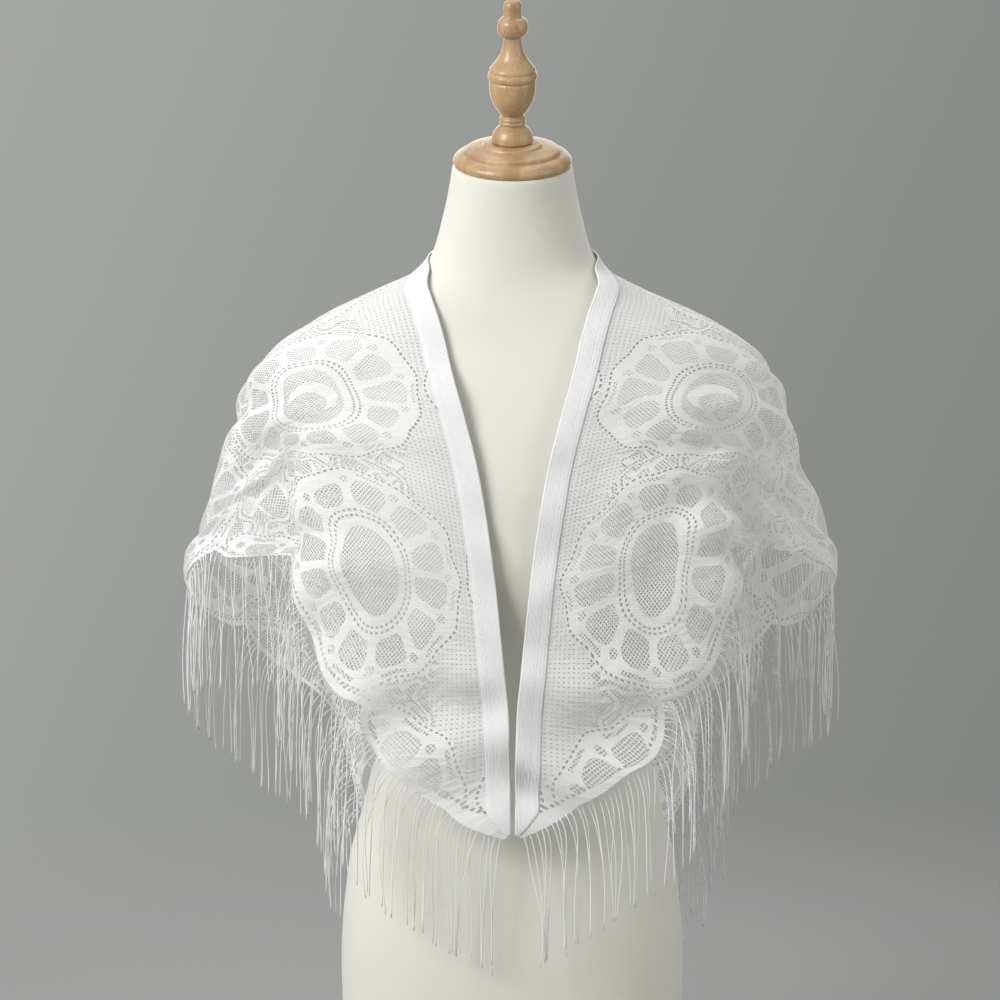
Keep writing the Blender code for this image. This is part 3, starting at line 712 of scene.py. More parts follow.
class Recipe:
    """A material's node tree, with the one method that adds nodes to it."""

    def __init__(self, name: str) -> None:
        """Starts a material with its Principled shader."""
        self.material = bpy.data.materials.new(name)
        self.material.use_nodes = True
        self.tree = self.material.node_tree
        self.shader = self.tree.nodes["Principled BSDF"]

    def node(self, kind: str, settings: dict | None = None, inputs: dict | None = None) -> bpy.types.Node:
        """Adds a node.

        Args:
            kind: The node's type.
            settings: What is set first, such as an operation.
            inputs: What its sockets are given, a value or a link each.

        Returns:
            The node.
        """
        made = self.tree.nodes.new(kind)
        for name, setting in (settings or {}).items():
            setattr(made, name, setting)
        for key, given in (inputs or {}).items():
            self.feed(made.inputs[key], given)
        return made

    def feed(self, socket: bpy.types.NodeSocket, given: object) -> None:
        """Links a value to a socket, or sets the socket to it."""
        if isinstance(given, Value):
            self.tree.links.new(given.socket, socket)
        else:
            socket.default_value = given

    def value(
        self, kind: str, settings: dict | None = None, inputs: dict | None = None, output: str | int = 0
    ) -> "Value":
        """One output of a new node, as a value."""
        return Value(self, self.node(kind, settings, inputs).outputs[output])

    def set_shader(self, **inputs: object) -> None:
        """Feeds the Principled shader's sockets, named with _ for spaces."""
        for name, given in inputs.items():
            self.feed(self.shader.inputs[name.replace("_", " ")], given)

    def parted(self, vector: "Value") -> tuple:
        """The three numbers of a vector."""
        split = self.node("ShaderNodeSeparateXYZ", inputs={0: vector})
        return tuple(Value(self, split.outputs[axis]) for axis in range(3))

    def stored(self, name: str) -> tuple:
        """The three numbers of a vector that the mesh holds for each point."""
        return self.parted(self.value("ShaderNodeAttribute", {"attribute_name": name}, output="Vector"))

    def place(self, kind: str) -> tuple:
        """The three coordinates of a kind, such as the object's own."""
        return self.parted(self.value("ShaderNodeTexCoord", output=kind))

    def noise(self, scale: float, detail: float = 2.0, where: "Value | None" = None) -> "Value":
        """Even noise about a half, at a scale in cycles a metre."""
        where = where or self.value("ShaderNodeTexCoord", output="Object")
        given = {"Vector": where, "Scale": scale, "Detail": detail}
        return self.value("ShaderNodeTexNoise", inputs=given)

    def join(self, across: "Value", along: "Value") -> "Value":
        """A flat place from two numbers."""
        return self.value("ShaderNodeCombineXYZ", inputs={0: across, 1: along})

    def cells(self, where: "Value", size: float, feature: str) -> "Value":
        """The distance to a patch's edge or middle, in patches of a size, as a share of it."""
        held = {"feature": feature, "voronoi_dimensions": "2D"}
        return self.value("ShaderNodeTexVoronoi", held, {"Vector": where, "Scale": 1 / size}, "Distance")

    def cell_lot(self, where: "Value", size: float) -> "Value":
        """A number from 0 to 1 for each patch of a size."""
        held = {"feature": "F1", "voronoi_dimensions": "2D"}
        colour = self.value("ShaderNodeTexVoronoi", held, {"Vector": where, "Scale": 1 / size}, "Color")
        return Value(self, self.node("ShaderNodeSeparateColor", inputs={0: colour}).outputs[0])

    def let_through(self, colour: "Value", share: float, hole: "Value") -> None:
        """Lets a share of the light through the cloth, and all of it through the holes."""
        glow = self.node("ShaderNodeBsdfTranslucent", inputs={"Color": colour})
        cloth = self.node("ShaderNodeMixShader", inputs={0: share})
        opened = self.node("ShaderNodeMixShader", inputs={0: hole})
        clear = self.node("ShaderNodeBsdfTransparent")
        self.tree.links.new(self.shader.outputs[0], cloth.inputs[1])
        self.tree.links.new(glow.outputs[0], cloth.inputs[2])
        self.tree.links.new(cloth.outputs[0], opened.inputs[1])
        self.tree.links.new(clear.outputs[0], opened.inputs[2])
        self.tree.links.new(opened.outputs[0], self.tree.nodes["Material Output"].inputs["Surface"])

    def blend(self, share: "Value | float", first: tuple, second: tuple) -> "Value":
        """A colour between two, by a share."""
        held = {"data_type": "RGBA", "blend_type": "MIX"}
        first, second = ((x if isinstance(x, Value) else (*x, 1.0)) for x in (first, second))
        return self.value("ShaderNodeMix", held, {0: share, 6: first, 7: second}, output=2)

    def relief(self, height: "Value", depth: float) -> None:
        """Gives the surface a bump of the given depth in metres."""
        bump = self.value("ShaderNodeBump", inputs={"Strength": 1.0, "Distance": depth, "Height": height})
        self.feed(self.shader.inputs["Normal"], bump)


class AirRecipe(Recipe):
    """The node tree of the air round the scene."""

    def __init__(self, name: str) -> None:
        """Starts a world with its Background shader."""
        world = bpy.data.worlds.new(name)
        world.use_nodes = True
        bpy.context.scene.world = world
        self.tree = world.node_tree
        self.shader = self.tree.nodes["Background"]


class Value:
    """A number in a material: an expression on it adds Math nodes."""

    def __init__(self, recipe: Recipe, socket: bpy.types.NodeSocket) -> None:
        """Wraps a node's output."""
        self.recipe = recipe
        self.socket = socket

    def _math(self, operation: str, *others: "Value | float") -> "Value":
        """A Math node on this value and others."""
        given = dict(enumerate([self, *others]))
        return self.recipe.value("ShaderNodeMath", {"operation": operation}, given)

    def __add__(self, other: "Value | float") -> "Value":
        """This plus another."""
        return self._math("ADD", other)

    __radd__ = __add__

    def __sub__(self, other: "Value | float") -> "Value":
        """This less another."""
        return self._math("SUBTRACT", other)

    def __rsub__(self, other: float) -> "Value":
        """A number less this."""
        return self.recipe.value("ShaderNodeMath", {"operation": "SUBTRACT"}, {0: other, 1: self})

    def __mul__(self, other: "Value | float") -> "Value":
        """This times another."""
        return self._math("MULTIPLY", other)

    __rmul__ = __mul__

    def __truediv__(self, other: "Value | float") -> "Value":
        """This over another."""
        return self._math("DIVIDE", other)

    def __pow__(self, other: float) -> "Value":
        """This to a power."""
        return self._math("POWER", other)

    def __abs__(self) -> "Value":
        """Its size without its sign."""
        return self._math("ABSOLUTE")

    def __lt__(self, other: "Value | float") -> "Value":
        """1 where this is under another, and 0 elsewhere."""
        return self._math("LESS_THAN", other)

    def __gt__(self, other: "Value | float") -> "Value":
        """1 where this is over another, and 0 elsewhere."""
        return self._math("GREATER_THAN", other)

    def __and__(self, other: "Value") -> "Value":
        """The lesser of two masks."""
        return self._math("MINIMUM", other)

    def __or__(self, other: "Value") -> "Value":
        """The greater of two masks."""
        return self._math("MAXIMUM", other)

    def floor(self) -> "Value":
        """The whole number below."""
        return self._math("FLOOR")

    def fraction(self) -> "Value":
        """What is over the whole number below."""
        return self._math("FRACT")

    def sine(self) -> "Value":
        """Its sine."""
        return self._math("SINE")

    def cosine(self) -> "Value":
        """Its cosine."""
        return self._math("COSINE")

    def angle_to(self, across: "Value") -> "Value":
        """The angle of this over another, from -pi to pi."""
        return self._math("ARCTAN2", across)

    def root(self) -> "Value":
        """Its square root."""
        return self._math("SQRT")

    def between(self, low: float, high: float) -> "Value":
        """An even S from 0 at low to 1 at high."""
        held = {"interpolation_type": "SMOOTHSTEP"}
        return self.recipe.value("ShaderNodeMapRange", held, {0: self, 1: low, 2: high})

    def near(self, place: "Value | float", reach: "Value | float") -> "Value":
        """1 within a reach of a place."""
        return abs(self - place) < reach

    def cell(self, pitch: float) -> "Value":
        """Where this lies in a row of cells, from -0.5 to 0.5."""
        return (self / pitch).fraction() - 0.5


class Motif(NamedTuple):
    """Masks of one kind of figure in the lace: its body, its net, its small holes and its cord."""

    body: Value
    net: Value
    pricks: Value
    cord: Value


class Trim(NamedTuple):
    """Masks along the hem: its close edge, all that is close there, the leaves' veins and the dots."""

    edge: Value
    close: Value
    veins: Value
    dots: Value


@dataclass(frozen=True)
class Rosette:
    """A rosette from its eye outwards; lengths are in millimetres.

    Attributes:
        windows: The net windows round it.
        eye: The net eye's radius.
        moon: The outer and inner radius of the crescent in every other eye, and how far they part.
        cord_ring: The radius and half width of the raised cord.
        bead_rings: The radii of the two dotted rings.
        window_ring: The radius that the windows are centred on.
        pad_ring: The radius of the small round clusters.
        crescent_ring: The radius of the slivers.
        outer: The radius of the dotted outline.
        swell: How much further out that outline runs between two windows.
        dot: Half the width of a dotted ring.
        oval: How much nearer the eye's sides and ends lie than a circle's.
        rounded: The distances between which the oval turns into a circle.
        offset: How far every other rosette is turned, in windows.
    """

    windows: int = 12
    eye: float = 28.0
    moon: tuple = (19.0, 14.5, 6.0, 5.0)
    cord_ring: tuple = (32.5, 3.2)
    bead_rings: tuple = (37.0, 41.6)
    window_ring: float = 57.0
    pad_ring: float = 70.5
    crescent_ring: float = 75.0
    outer: float = 79.5
    swell: float = 7.0
    dot: float = 0.9
    oval: tuple = (0.80, 1.24)
    rounded: tuple = (34, 60)
    offset: float = 0.35

    def draw(self, cut: FlatCut, side: Value, down: Value, net_hole: Value) -> Motif:
        """The lattice of rosettes, oval at the eye and round at the rim.

        Args:
            cut: The flat cut, which gives the lattice.
            side: The distance from the cut's middle line.
            down: The distance from the long edge.
            net_hole: The holes of the net.

        Returns:
            The masks of the rosettes.
        """
        cell_s, cell_t = cut.cell_s * 1000, cut.cell_t * 1000
        rows = (down - (cut.first_row * 1000 - cell_t / 2)) / cell_t
        x = (side / cell_s).fraction() * cell_s - cell_s / 2
        y = rows.fraction() * cell_t - cell_t / 2
        turn = (side / cell_s).floor() + rows.floor()
        odd = (turn * 0.5).fraction() * 2
        far = (x * x + y * y).root()
        oval_x, oval_y = x * self.oval[0], y * self.oval[1]
        near = (oval_x * oval_x + oval_y * oval_y).root()
        radius = near + (far - near) * far.between(*self.rounded)
        step = y.angle_to(x) * (self.windows / TAU) + self.offset * odd
        spoke = step.cell(1.0)
        lot = ((step.floor() * 2.4 + turn * 1.7).sine() * 43.7).fraction()
        arc = abs(spoke) * radius * (TAU / self.windows)

        moon_outer, moon_inner, moon_side, moon_down = self.moon
        moon_x, moon_y = x - moon_side, y - moon_down
        past_inner = (moon_x * moon_x + moon_y * moon_y).root() > moon_inner
        moon = (far < moon_outer) & past_inner & (odd > 0.5)
        high = (radius - self.window_ring - lot * 2.0) / (10.0 + lot * 2.5)
        wide = arc / (9.0 + radius.between(46, 66) * 3.6)
        window = (abs(high) ** 4.0 + abs(wide) ** 4.0) < 1.0
        inner_ring, outer_ring = self.bead_rings
        beads = radius.near(inner_ring, self.dot) | radius.near(outer_ring, self.dot)
        beads = beads & (step * 5.0).cell(1.0).near(0.0, 0.26)
        pad_arc = (0.5 - abs(spoke)) * radius * (TAU / self.windows)
        pad_high = radius - self.pad_ring
        pad = (pad_arc * pad_arc + pad_high * pad_high).root() < 3.6
        sliver = (radius - self.crescent_ring - arc * 0.16).near(0.0, 1.5) & (arc < 10.0) & (lot > 0.35)
        rim = self.outer + abs(spoke) * self.swell
        outline = (radius - rim).near(0.0, 0.8) & (step * 9.0).cell(1.0).near(0.0, 0.27)
        return Motif(
            body=radius < rim + 2.0,
            net=((radius < self.eye) & (1 - moon)) | window,
            pricks=beads | outline | ((pad | sliver) & net_hole),
            cord=radius.near(*self.cord_ring),
        )


@dataclass(frozen=True)
class Petals:
    """The petals and dotted scrolls that fill the room between the rosettes, in millimetres.

    Attributes:
        size: A petal's size.
        scroll: The size of the patches that the dotted scrolls part.
        bare: The share of petals that have no net.
        slit: The share that have a dotted line round them instead.
        hatched: The lot past which a petal is hatched.
        waves: The lengths of the scrolls' waves across and along.
        sway: How far the waves swing to each side.
        pin_pitch: From pinhole to pinhole along both slants.
        fine_pitch: From hole to hole of the hatching.
    """

    size: float = 23.0
    scroll: float = 58.0
    bare: float = 0.32
    slit: float = 0.20
    hatched: float = 0.90
    waves: tuple = (31.0, 27.0)
    sway: float = 4.5
    pin_pitch: float = 3.3
    fine_pitch: float = 1.9

    def draw(self, make: Recipe, drawn: tuple, plain: tuple, net_hole: Value) -> Motif:
        """The petals and scrolls.

        Args:
            make: The lace's recipe.
            drawn: The drifting distances from the middle line and the long edge.
            plain: The true ones.
            net_hole: The holes of the net.

        Returns:
            The masks of the petals and scrolls.
        """
        side, down = drawn
        flat = make.join(side * 0.82, down * 1.15)
        rim = make.cells(flat, self.size, "DISTANCE_TO_EDGE") * self.size
        middle = make.cells(flat, self.size, "F1") * self.size
        lot = make.cell_lot(flat, self.size)
        wave_side = side + (down * (TAU / self.waves[0])).sine() * self.sway
        wave_down = down + (side * (TAU / self.waves[1])).sine() * self.sway
        waved = make.join(wave_side, wave_down)
        scroll_rim = make.cells(waved, self.scroll, "DISTANCE_TO_EDGE") * self.scroll
        true_side, true_down = plain
        slant, other_slant = true_side + true_down, true_side - true_down
        pin = slant.cell(self.pin_pitch).near(0.0, 0.34) & other_slant.cell(self.pin_pitch).near(0.0, 0.34)
        across, along = true_side.cell(self.fine_pitch), true_down.cell(self.fine_pitch)
        fine_hole = across.near(0.0, 0.22) & along.near(0.0, 0.22)

        petal = (rim > 1.9) & (lot > self.bare)
        hatch = petal & (lot > self.hatched)
        seed = (middle < 3.6) & (lot < self.bare)
        slit = rim.near(2.8, 0.8) & (lot < self.slit)
        body = 1 - (scroll_rim < 5.2)
        pricks = (seed & net_hole) | (slit & pin) | (hatch & fine_hole)
        return Motif(
            body=body,
            net=body & petal & (1 - hatch),
            pricks=(body & pricks) | (scroll_rim.near(2.8, 1.3) & pin),
            cord=body & scroll_rim.near(5.6, 1.1),
        )


@dataclass(frozen=True)
class HemLeaves:
    """The leaves and the dotted line along the scalloped hem, in millimetres.

    Attributes:
        pitch: From leaf to leaf.
        middle: How far in from the hem the leaves are centred.
        radius: A leaf's half length.
        border: The close edge's width.
        dots: How far in the dotted line runs.
        dot_pitch: From dot to dot.
    """

    pitch: float = 23.0
    middle: float = 15.0
    radius: float = 9.0
    border: float = 4.6
    dots: float = 6.4
    dot_pitch: float = 4.4

    def draw(self, along: Value, hem: Value) -> Trim:
        """The leaves and the dotted line, by the distance along the hem and in from it."""
        place = along.cell(self.pitch) * self.pitch
        high = (hem - self.middle + abs(place) * 0.35) * 1.55
        leaf = (place * place + high * high).root() < self.radius
        edge = hem < self.border
        return Trim(
            edge=edge,
            close=edge | leaf | hem.near(self.dots, 2.6),
            veins=leaf & place.near(0.0, 0.8) & hem.near(self.middle, 3.6),
            dots=hem.near(self.dots, 0.95) & along.cell(self.dot_pitch).near(0.0, 0.25),
        )


@dataclass(frozen=True)
class LaceFinish:
    """Openwork white lace: rosettes, petals and dotted lines on net, beside a ladder of rungs.

    Lengths are in millimetres on the flat cut.

    Attributes:
        solid: The colour of the close stitches.
        thread: The colour of the net's threads.
        translucence: The share of light that passes through the threads.
        net_pitch: The net's pitch along both slants.
        net_hole: Half a hole's share of that pitch where the cloth lies on the form.
        net_opened: How much more the holes open where it hangs free.
        rung_pitch: From rung to rung of the ladder.
        pillar_pitch: From row to row of the ladder.
        ladder_width: How far the ladder reaches from the long edge.
        ladder_wave: The length of the waves in the ladder's edge.
        drift: How far the figures drift from their true places.
        wale: From wale to wale of the close stitches.
        course: From course to course of the close stitches.
        relief: The depth of the stitches, in metres.
    """

    solid: tuple = (0.91, 0.91, 0.91)
    thread: tuple = (0.84, 0.84, 0.84)
    translucence: float = 0.27
    net_pitch: float = 3.5
    net_hole: float = 0.195
    net_opened: float = 0.145
    rung_pitch: float = 3.6
    pillar_pitch: float = 3.8
    ladder_width: float = 60.0
    ladder_wave: float = 44.0
    drift: float = 15.0
    wale: float = 1.5
    course: float = 1.9
    relief: float = 0.0008

    def material(self, cut: FlatCut) -> bpy.types.Material:
        """The lace's material, drawn on the flat cut's millimetres."""
        make = Recipe("openwork_lace")
        s, t, inside = make.stored("cut")
        free, _, _ = make.stored("hang")
        side, down, hem = abs(s) * 1000, t * 1000, inside * 1000
        drift, other_drift = make.noise(21.0, 1.0) - 0.5, make.noise(17.0, 1.0) - 0.5
        drawn = side + drift * self.drift, down + other_drift * self.drift
        along = (cut.edge * 500 - side) * cut.cos + down * cut.sin

        # The grounds: a diagonal net, and a ladder beside the band
        reach = self.net_hole + free * self.net_opened
        slant, other_slant = (side + down) / self.net_pitch, (side - down) / self.net_pitch
        net_hole = slant.cell(1.0).near(0.0, reach) & other_slant.cell(1.0).near(0.0, reach)
        rung, pillar = side.cell(self.rung_pitch), down.cell(self.pillar_pitch)
        ladder_hole = rung.near(0.0, 0.10) & pillar.near(0.0, 0.21)
        beside = down < self.ladder_width + (drawn[0] * (TAU / self.ladder_wave)).cosine() * 4.0

        rosettes = Rosette().draw(cut, *drawn, net_hole)
        petals = Petals().draw(make, drawn, (side, down), net_hole)
        trim = HemLeaves().draw(along, hem)

        # Which figure each place belongs to
        inner = rosettes.body & (1 - trim.edge)
        outer = (1 - rosettes.body) & (1 - trim.close)
        ladder = outer & beside
        floral = outer & (1 - beside)
        net = (inner & rosettes.net) | (floral & petals.net)
        open_ground = net | ladder
        pricks = (inner & rosettes.pricks) | (floral & petals.pricks)
        pricks = pricks | (trim.veins & (1 - rosettes.body)) | trim.dots
        hole = (net & net_hole) | (ladder & ladder_hole) | (pricks & (1 - open_ground))

        solid = 1 - open_ground
        wale = (down * (TAU / self.wale)).sine()
        course = (side * (TAU / self.course)).sine()
        cord = (inner & rosettes.cord) | (floral & petals.cord)
        crinkle = make.noise(190.0, 2.0, make.join(s + drift * 0.03, t * 0.30)) - 0.5
        height = solid * 0.42 + cord * 0.2 + wale * 0.06 + course * solid * 0.05 + pricks * -0.35
        mottle = make.noise(120.0, 2.0)
        # Close stitches lighter than the net, random mottling, and painted shade between the wales and
        # courses where the stitch relief is low
        tone_and_stitch_shade = solid * (0.60 + wale * 0.16 + course * 0.08) + mottle * 0.35
        colour = make.blend(tone_and_stitch_shade, self.thread, self.solid)
        make.set_shader(
            Base_Color=colour,
            Roughness=0.78,
            Sheen_Weight=0.25,
            Sheen_Roughness=0.5,
            Specular_IOR_Level=0.25,
        )
        make.relief(height + crinkle * (1.1 + free * 1.0), self.relief)
        make.let_through(colour, self.translucence, hole)
        return make.material


@dataclass(frozen=True)
class BandFinish:
    """The close ribbed band: lengthwise ribs with fine stitches across them.

    Attributes:
        light: The colour of the stitches.
        dark: The colour between them, painted shade in the grooves.
        row: From row to row across the band.
        stitch: From stitch to stitch along it.
        relief: The depth of the stitches.
    """

    light: tuple = (0.88, 0.88, 0.88)
    dark: tuple = (0.78, 0.78, 0.78)
    row: float = 0.0011
    stitch: float = 0.0016
    relief: float = 0.0003

    def material(self) -> bpy.types.Material:
        """The band's material."""
        make = Recipe("ribbed_band")
        s, t, _ = make.stored("cut")
        fine = (t * (TAU / self.row)).sine()
        stitch = (s * (TAU / self.stitch) + fine * 0.8).sine()
        fleck = make.noise(700.0, 1.0)
        height = fine * 0.3 + stitch * 0.25 + fleck * 0.4
        # Painted shade: darker in the grooves between ribs and stitches, following the relief
        make.set_shader(
            Base_Color=make.blend(0.55 + fine * 0.25 + stitch * 0.1, self.dark, self.light),
            Roughness=0.76,
            Sheen_Weight=0.25,
            Specular_IOR_Level=0.25,
        )
        make.relief(height, self.relief)
        return make.material


@dataclass(frozen=True)
class ThreadFinish:
    """Twisted white fringe thread.

    Attributes:
        light: The colour of the strands.
        dark: The colour between them, painted shade in the twist's grooves.
        twist: The length of one turn of the twist.
        relief: The depth of the strands.
    """

    light: tuple = (0.90, 0.90, 0.90)
    dark: tuple = (0.74, 0.74, 0.74)
    twist: float = 0.0022
    relief: float = 0.00015

    def material(self) -> bpy.types.Material:
        """The thread's material."""
        make = Recipe("fringe_thread")
        run, turn, lot = make.stored("thread")
        twist = (run * (TAU / self.twist) + turn * TAU).sine()
        # Painted shade in the twist's grooves, plus a random tone of each thread's own
        tone_and_twist_shade = 0.62 + twist * 0.25 + (lot - 0.5) * 0.25
        make.set_shader(
            Base_Color=make.blend(tone_and_twist_shade, self.dark, self.light),
            Roughness=0.6,
            Sheen_Weight=0.15,
            Specular_IOR_Level=0.35,
        )
        make.relief(twist, self.relief)
        return make.material


@dataclass(frozen=True)
class JerseyFinish:
    """The form's ivory jersey cover, a fine close knit.

    Attributes:
        light: The lighter ivory.
        dark: The darker ivory.
        course: From course to course of the knit.
        wale: From wale to wale.
        relief: The depth of the knit.
    """

    light: tuple = (0.765, 0.745, 0.675)
    dark: tuple = (0.715, 0.695, 0.625)
    course: float = 0.0014
    wale: float = 0.0011
    relief: float = 0.00025

    def material(self) -> bpy.types.Material:
        """The jersey's material."""
        make = Recipe("ivory_jersey")
        x, _, z = make.place("Object")
        loft = make.noise(9.0, 3.0)
        fuzz = make.noise(1400.0, 2.0)
        knit = (z * (TAU / self.course)).sine() * (x * (TAU / self.wale)).sine()
        make.set_shader(
            Base_Color=make.blend(loft * 0.8 + fuzz * 0.2, self.dark, self.light),
            Roughness=0.72 + fuzz * 0.1,
            Sheen_Weight=0.2,
            Specular_IOR_Level=0.3,
        )
        make.relief(fuzz * 0.5 + knit * 0.25, self.relief)
        return make.material


@dataclass(frozen=True)
class BeechFinish:
    """Turned beech under satin lacquer: fine growth lines and short dark flecks.

    Attributes:
        light: The colour of the early wood.
        dark: The colour of the late wood.
        fleck: The colour of the flecks.
        stretch: How much longer the grain is than it is wide.
        relief: The depth of the grain.
    """

    light: tuple = (0.56, 0.37, 0.195)
    dark: tuple = (0.36, 0.215, 0.10)
    fleck: tuple = (0.25, 0.135, 0.06)
    stretch: float = 9.0
    relief: float = 0.00012

    def material(self) -> bpy.types.Material:
        """The beech's material."""
        make = Recipe("turned_beech")
        where = make.value("ShaderNodeTexCoord", output="Object")
        held = {"vector_type": "TEXTURE"}
        scale = (1.0, 1.0, self.stretch)
        stretched = make.value("ShaderNodeMapping", held, {"Vector": where, "Scale": scale})
        wander = make.noise(60.0, 3.0, stretched)
        lines = make.noise(900.0, 2.0, stretched)
        specks = make.noise(2600.0, 0.0, stretched)
        grain = wander * 0.65 + lines * 0.35
        speck = specks.between(0.64, 0.74)
        wood = make.blend(grain.between(0.34, 0.68), self.dark, self.light)
        make.set_shader(
            Base_Color=make.blend(speck * 0.5, wood, self.fleck),
            Roughness=0.36 + lines * 0.14,
            Coat_Weight=0.35,
            Coat_Roughness=0.22,
        )
        make.relief(lines * 0.6 + speck * -0.5, self.relief)
        return make.material


@dataclass(frozen=True)
class FringeCut:
    """How the threads of the fringe are cut and hang.

    Attributes:
        length: A thread's length.
        uneven: How much shorter, and how much longer, a thread may be.
        spacing: From thread to thread along the hem.
        strays: How far a thread may stray from its place.
        springs: The least and greatest length over which a thread bends down.
        sway: How far a thread sways aside.
        splay: How far a thread's start turns aside.
        sewn: How far a thread reaches into the hem.
        radius: A thread's radius.
        steps: The straight steps in a thread.
        sides: Sides round a thread.
        room: The least room between a thread's middle and the form.
        bunches: The sizes of the bunches that neighbours cling together in, each as often as it comes.
        pulls: The least and greatest share of the way that a bunch's ends are drawn together.
    """

    length: float = 0.12
    uneven: tuple = (-0.008, 0.005)
    spacing: float = 0.0052
    strays: float = 0.0014
    springs: tuple = (0.008, 0.026)
    sway: float = 0.09
    splay: float = 0.10
    sewn: float = 0.0015
    radius: float = 0.0005
    steps: int = 20
    sides: int = 5
    room: float = 0.0015
    bunches: tuple = (1, 2, 2, 3, 3, 4)
    pulls: tuple = (0.25, 0.85)


@dataclass
class Shawl:
    """The shawl: its lace, its ribbed band and its fringe.

    Attributes:
        drape: The cut as it lies on the form.
        columns: Cells from tip to tip.
        lace_rows: Cells from the band to the hem.
        band_rows: Cells across the band.
        band_wall: The band's thickness between its ribs.
        rib_pitch: From rib to rib across the band.
        rib_height: How far a rib stands up.
        tip: How far the outermost line stands from the middle of the long edge.
        least: The least width of the lace beside the band, at a tip.
        hem_points: The places where the hem is read.
        hem_look: How far in from the hem its way out is read.
        hem_smoothings: How often that way is evened out.
        least_reach: The least depth of the cloth for the fringe, and its distance from the tips.
        map_side: The side of the square that holds the flat lace's two halves.
        fringe: How the threads are cut and hang.
    """

    drape: Drape
    columns: int = 640
    lace_rows: int = 112
    band_rows: int = 22
    band_wall: float = 0.0009
    rib_pitch: float = 0.0028
    rib_height: float = 0.0005
    tip: float = 0.656
    least: float = 0.0008
    hem_points: int = 2401
    hem_look: float = 0.004
    hem_smoothings: int = 30
    least_reach: float = 0.002
    map_side: float = 0.70
    fringe: FringeCut = FringeCut()

    def sheet(self, stations: np.ndarray, starts: np.ndarray, ends: np.ndarray, rows: int) -> tuple:
        """A grid of the cloth between two depths.

        Args:
            stations: The s of each line.
            starts: Each line's first t.
            ends: Each line's last t.
            rows: Cells on each line.

        Returns:
            The settled points, the flat s and t of each, and how free of the form each hangs.
        """
        share = np.linspace(0, 1, rows + 1)
        t = starts[:, None] + (ends - starts)[:, None] * share[None, :]
        s = np.repeat(stations[:, None], rows + 1, axis=1)
        points = np.array([self.drape.line(float(at), depths) for at, depths in zip(stations, t)])
        points, free = self.drape.settled(s, t, points)
        return points, s, t, free

    def build(self) -> None:
        """Makes the lace, the band and the fringe."""
        cut = self.drape.cut
        lace = self.make_lace()
        band = self.make_band()
        fringe = self.make_fringe()
        half = cut.edge / 2
        half * cut.depth

    def make_lace(self) -> bpy.types.Object:
        """The lace panel from the band to the scalloped hem."""
        cut = self.drape.cut
        stations = np.linspace(-self.tip, self.tip, self.columns + 1)
        ends = np.array([cut.reach(float(s)) for s in stations])
        starts = cut.band_depth(stations)
        ends = np.maximum(ends, starts + self.least)
        points, s, t, free = self.sheet(stations, starts, ends, self.lace_rows)
        faces = grid_faces(*points.shape[:2])
        piece = make_piece("lace_panel", points, faces, LaceFinish().material(cut))
        give_vectors(piece, "cut", np.stack([s, t, cut.inside_hem(s, t)], axis=-1))
        give_vectors(piece, "hang", np.stack([free, free, free], axis=-1))
        self.lay_out(piece, s.ravel()[faces], t.ravel()[faces])
        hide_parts(*nodes_named("lace_"))
        log.info("lace panel: %d quads", len(faces))
        return piece

    def lay_out(self, piece: bpy.types.Object, s: np.ndarray, t: np.ndarray) -> None:
        """Lays the lace's two halves on a square, each true to the flat cut, for baked maps."""
        layout = piece.data.uv_layers.new(name="OFBake")
        left = (s.mean(axis=1) < 0)[:, None]
        across, along = np.abs(s) / self.map_side, t / self.map_side
        corners = np.stack([np.where(left, 1 - across, across), np.where(left, 1 - along, along)], axis=-1)
        layout.data.foreach_set("uv", corners.astype(np.float32).ravel())

    def make_band(self) -> bpy.types.Object:
        """The ribbed band along the long edge, as a closed shell."""
        cut = self.drape.cut
        stations = np.linspace(-self.tip, self.tip, self.columns + 1)
        ends = cut.band_depth(stations)
        points, s, t, _ = self.sheet(stations, np.zeros(len(stations)), ends, self.band_rows)
        normals = grid_normals(points)
        rib = np.abs(np.sin(math.pi * t / self.rib_pitch)) * self.rib_height * (t < 7 * self.rib_pitch)
        outer = points + normals * (self.band_wall + rib)[..., None]
        rows, columns = points.shape[:2]
        front = grid_faces(rows, columns)
        count = rows * columns
        numbers = np.arange(count).reshape(rows, columns)
        ways_round = numbers[:, 0], numbers[-1, 1:], numbers[-2::-1, -1], numbers[0, -2:0:-1]
        rim = np.concatenate(ways_round).tolist()
        sides = [(a, b, b + count, a + count) for a, b in zip(rim, rim[1:] + rim[:1])]
        faces = [*(front + count).tolist(), *front[:, ::-1].tolist(), *sides]
        both = np.concatenate([points.reshape(-1, 3), outer.reshape(-1, 3)])
        piece = make_piece("ribbed_band", both, faces, BandFinish().material())
        flat = np.stack([s, t, np.zeros_like(s)], axis=-1).reshape(-1, 3)
        give_vectors(piece, "cut", np.concatenate([flat, flat]))
        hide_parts(*nodes_named("neck_band_"))
        log.info("ribbed band: %d faces", len(faces))
        return piece

    def hem_line(self) -> tuple:
        """The scalloped hem from tip to tip: its points, and the way out of the cloth at each."""
        cut = self.drape.cut
        hem, out = [], []
        for s in np.linspace(-self.tip, self.tip, self.hem_points):
            end = max(cut.reach(float(s)), self.least_reach)
            pair = self.drape.line(float(s), np.array([max(end - self.hem_look, 0.0), end]))
            hem.append(pair[1])
            out.append(pair[1] - pair[0])
        hem, out = np.array(hem), np.array(out)
        along = unit(np.gradient(hem, axis=0))
        out = unit(out - along * np.sum(out * along, axis=1, keepdims=True))
        for _ in range(self.hem_smoothings):
            out[1:-1] = (out[:-2] + out[1:-1] + out[2:]) / 3
        return hem, unit(out)

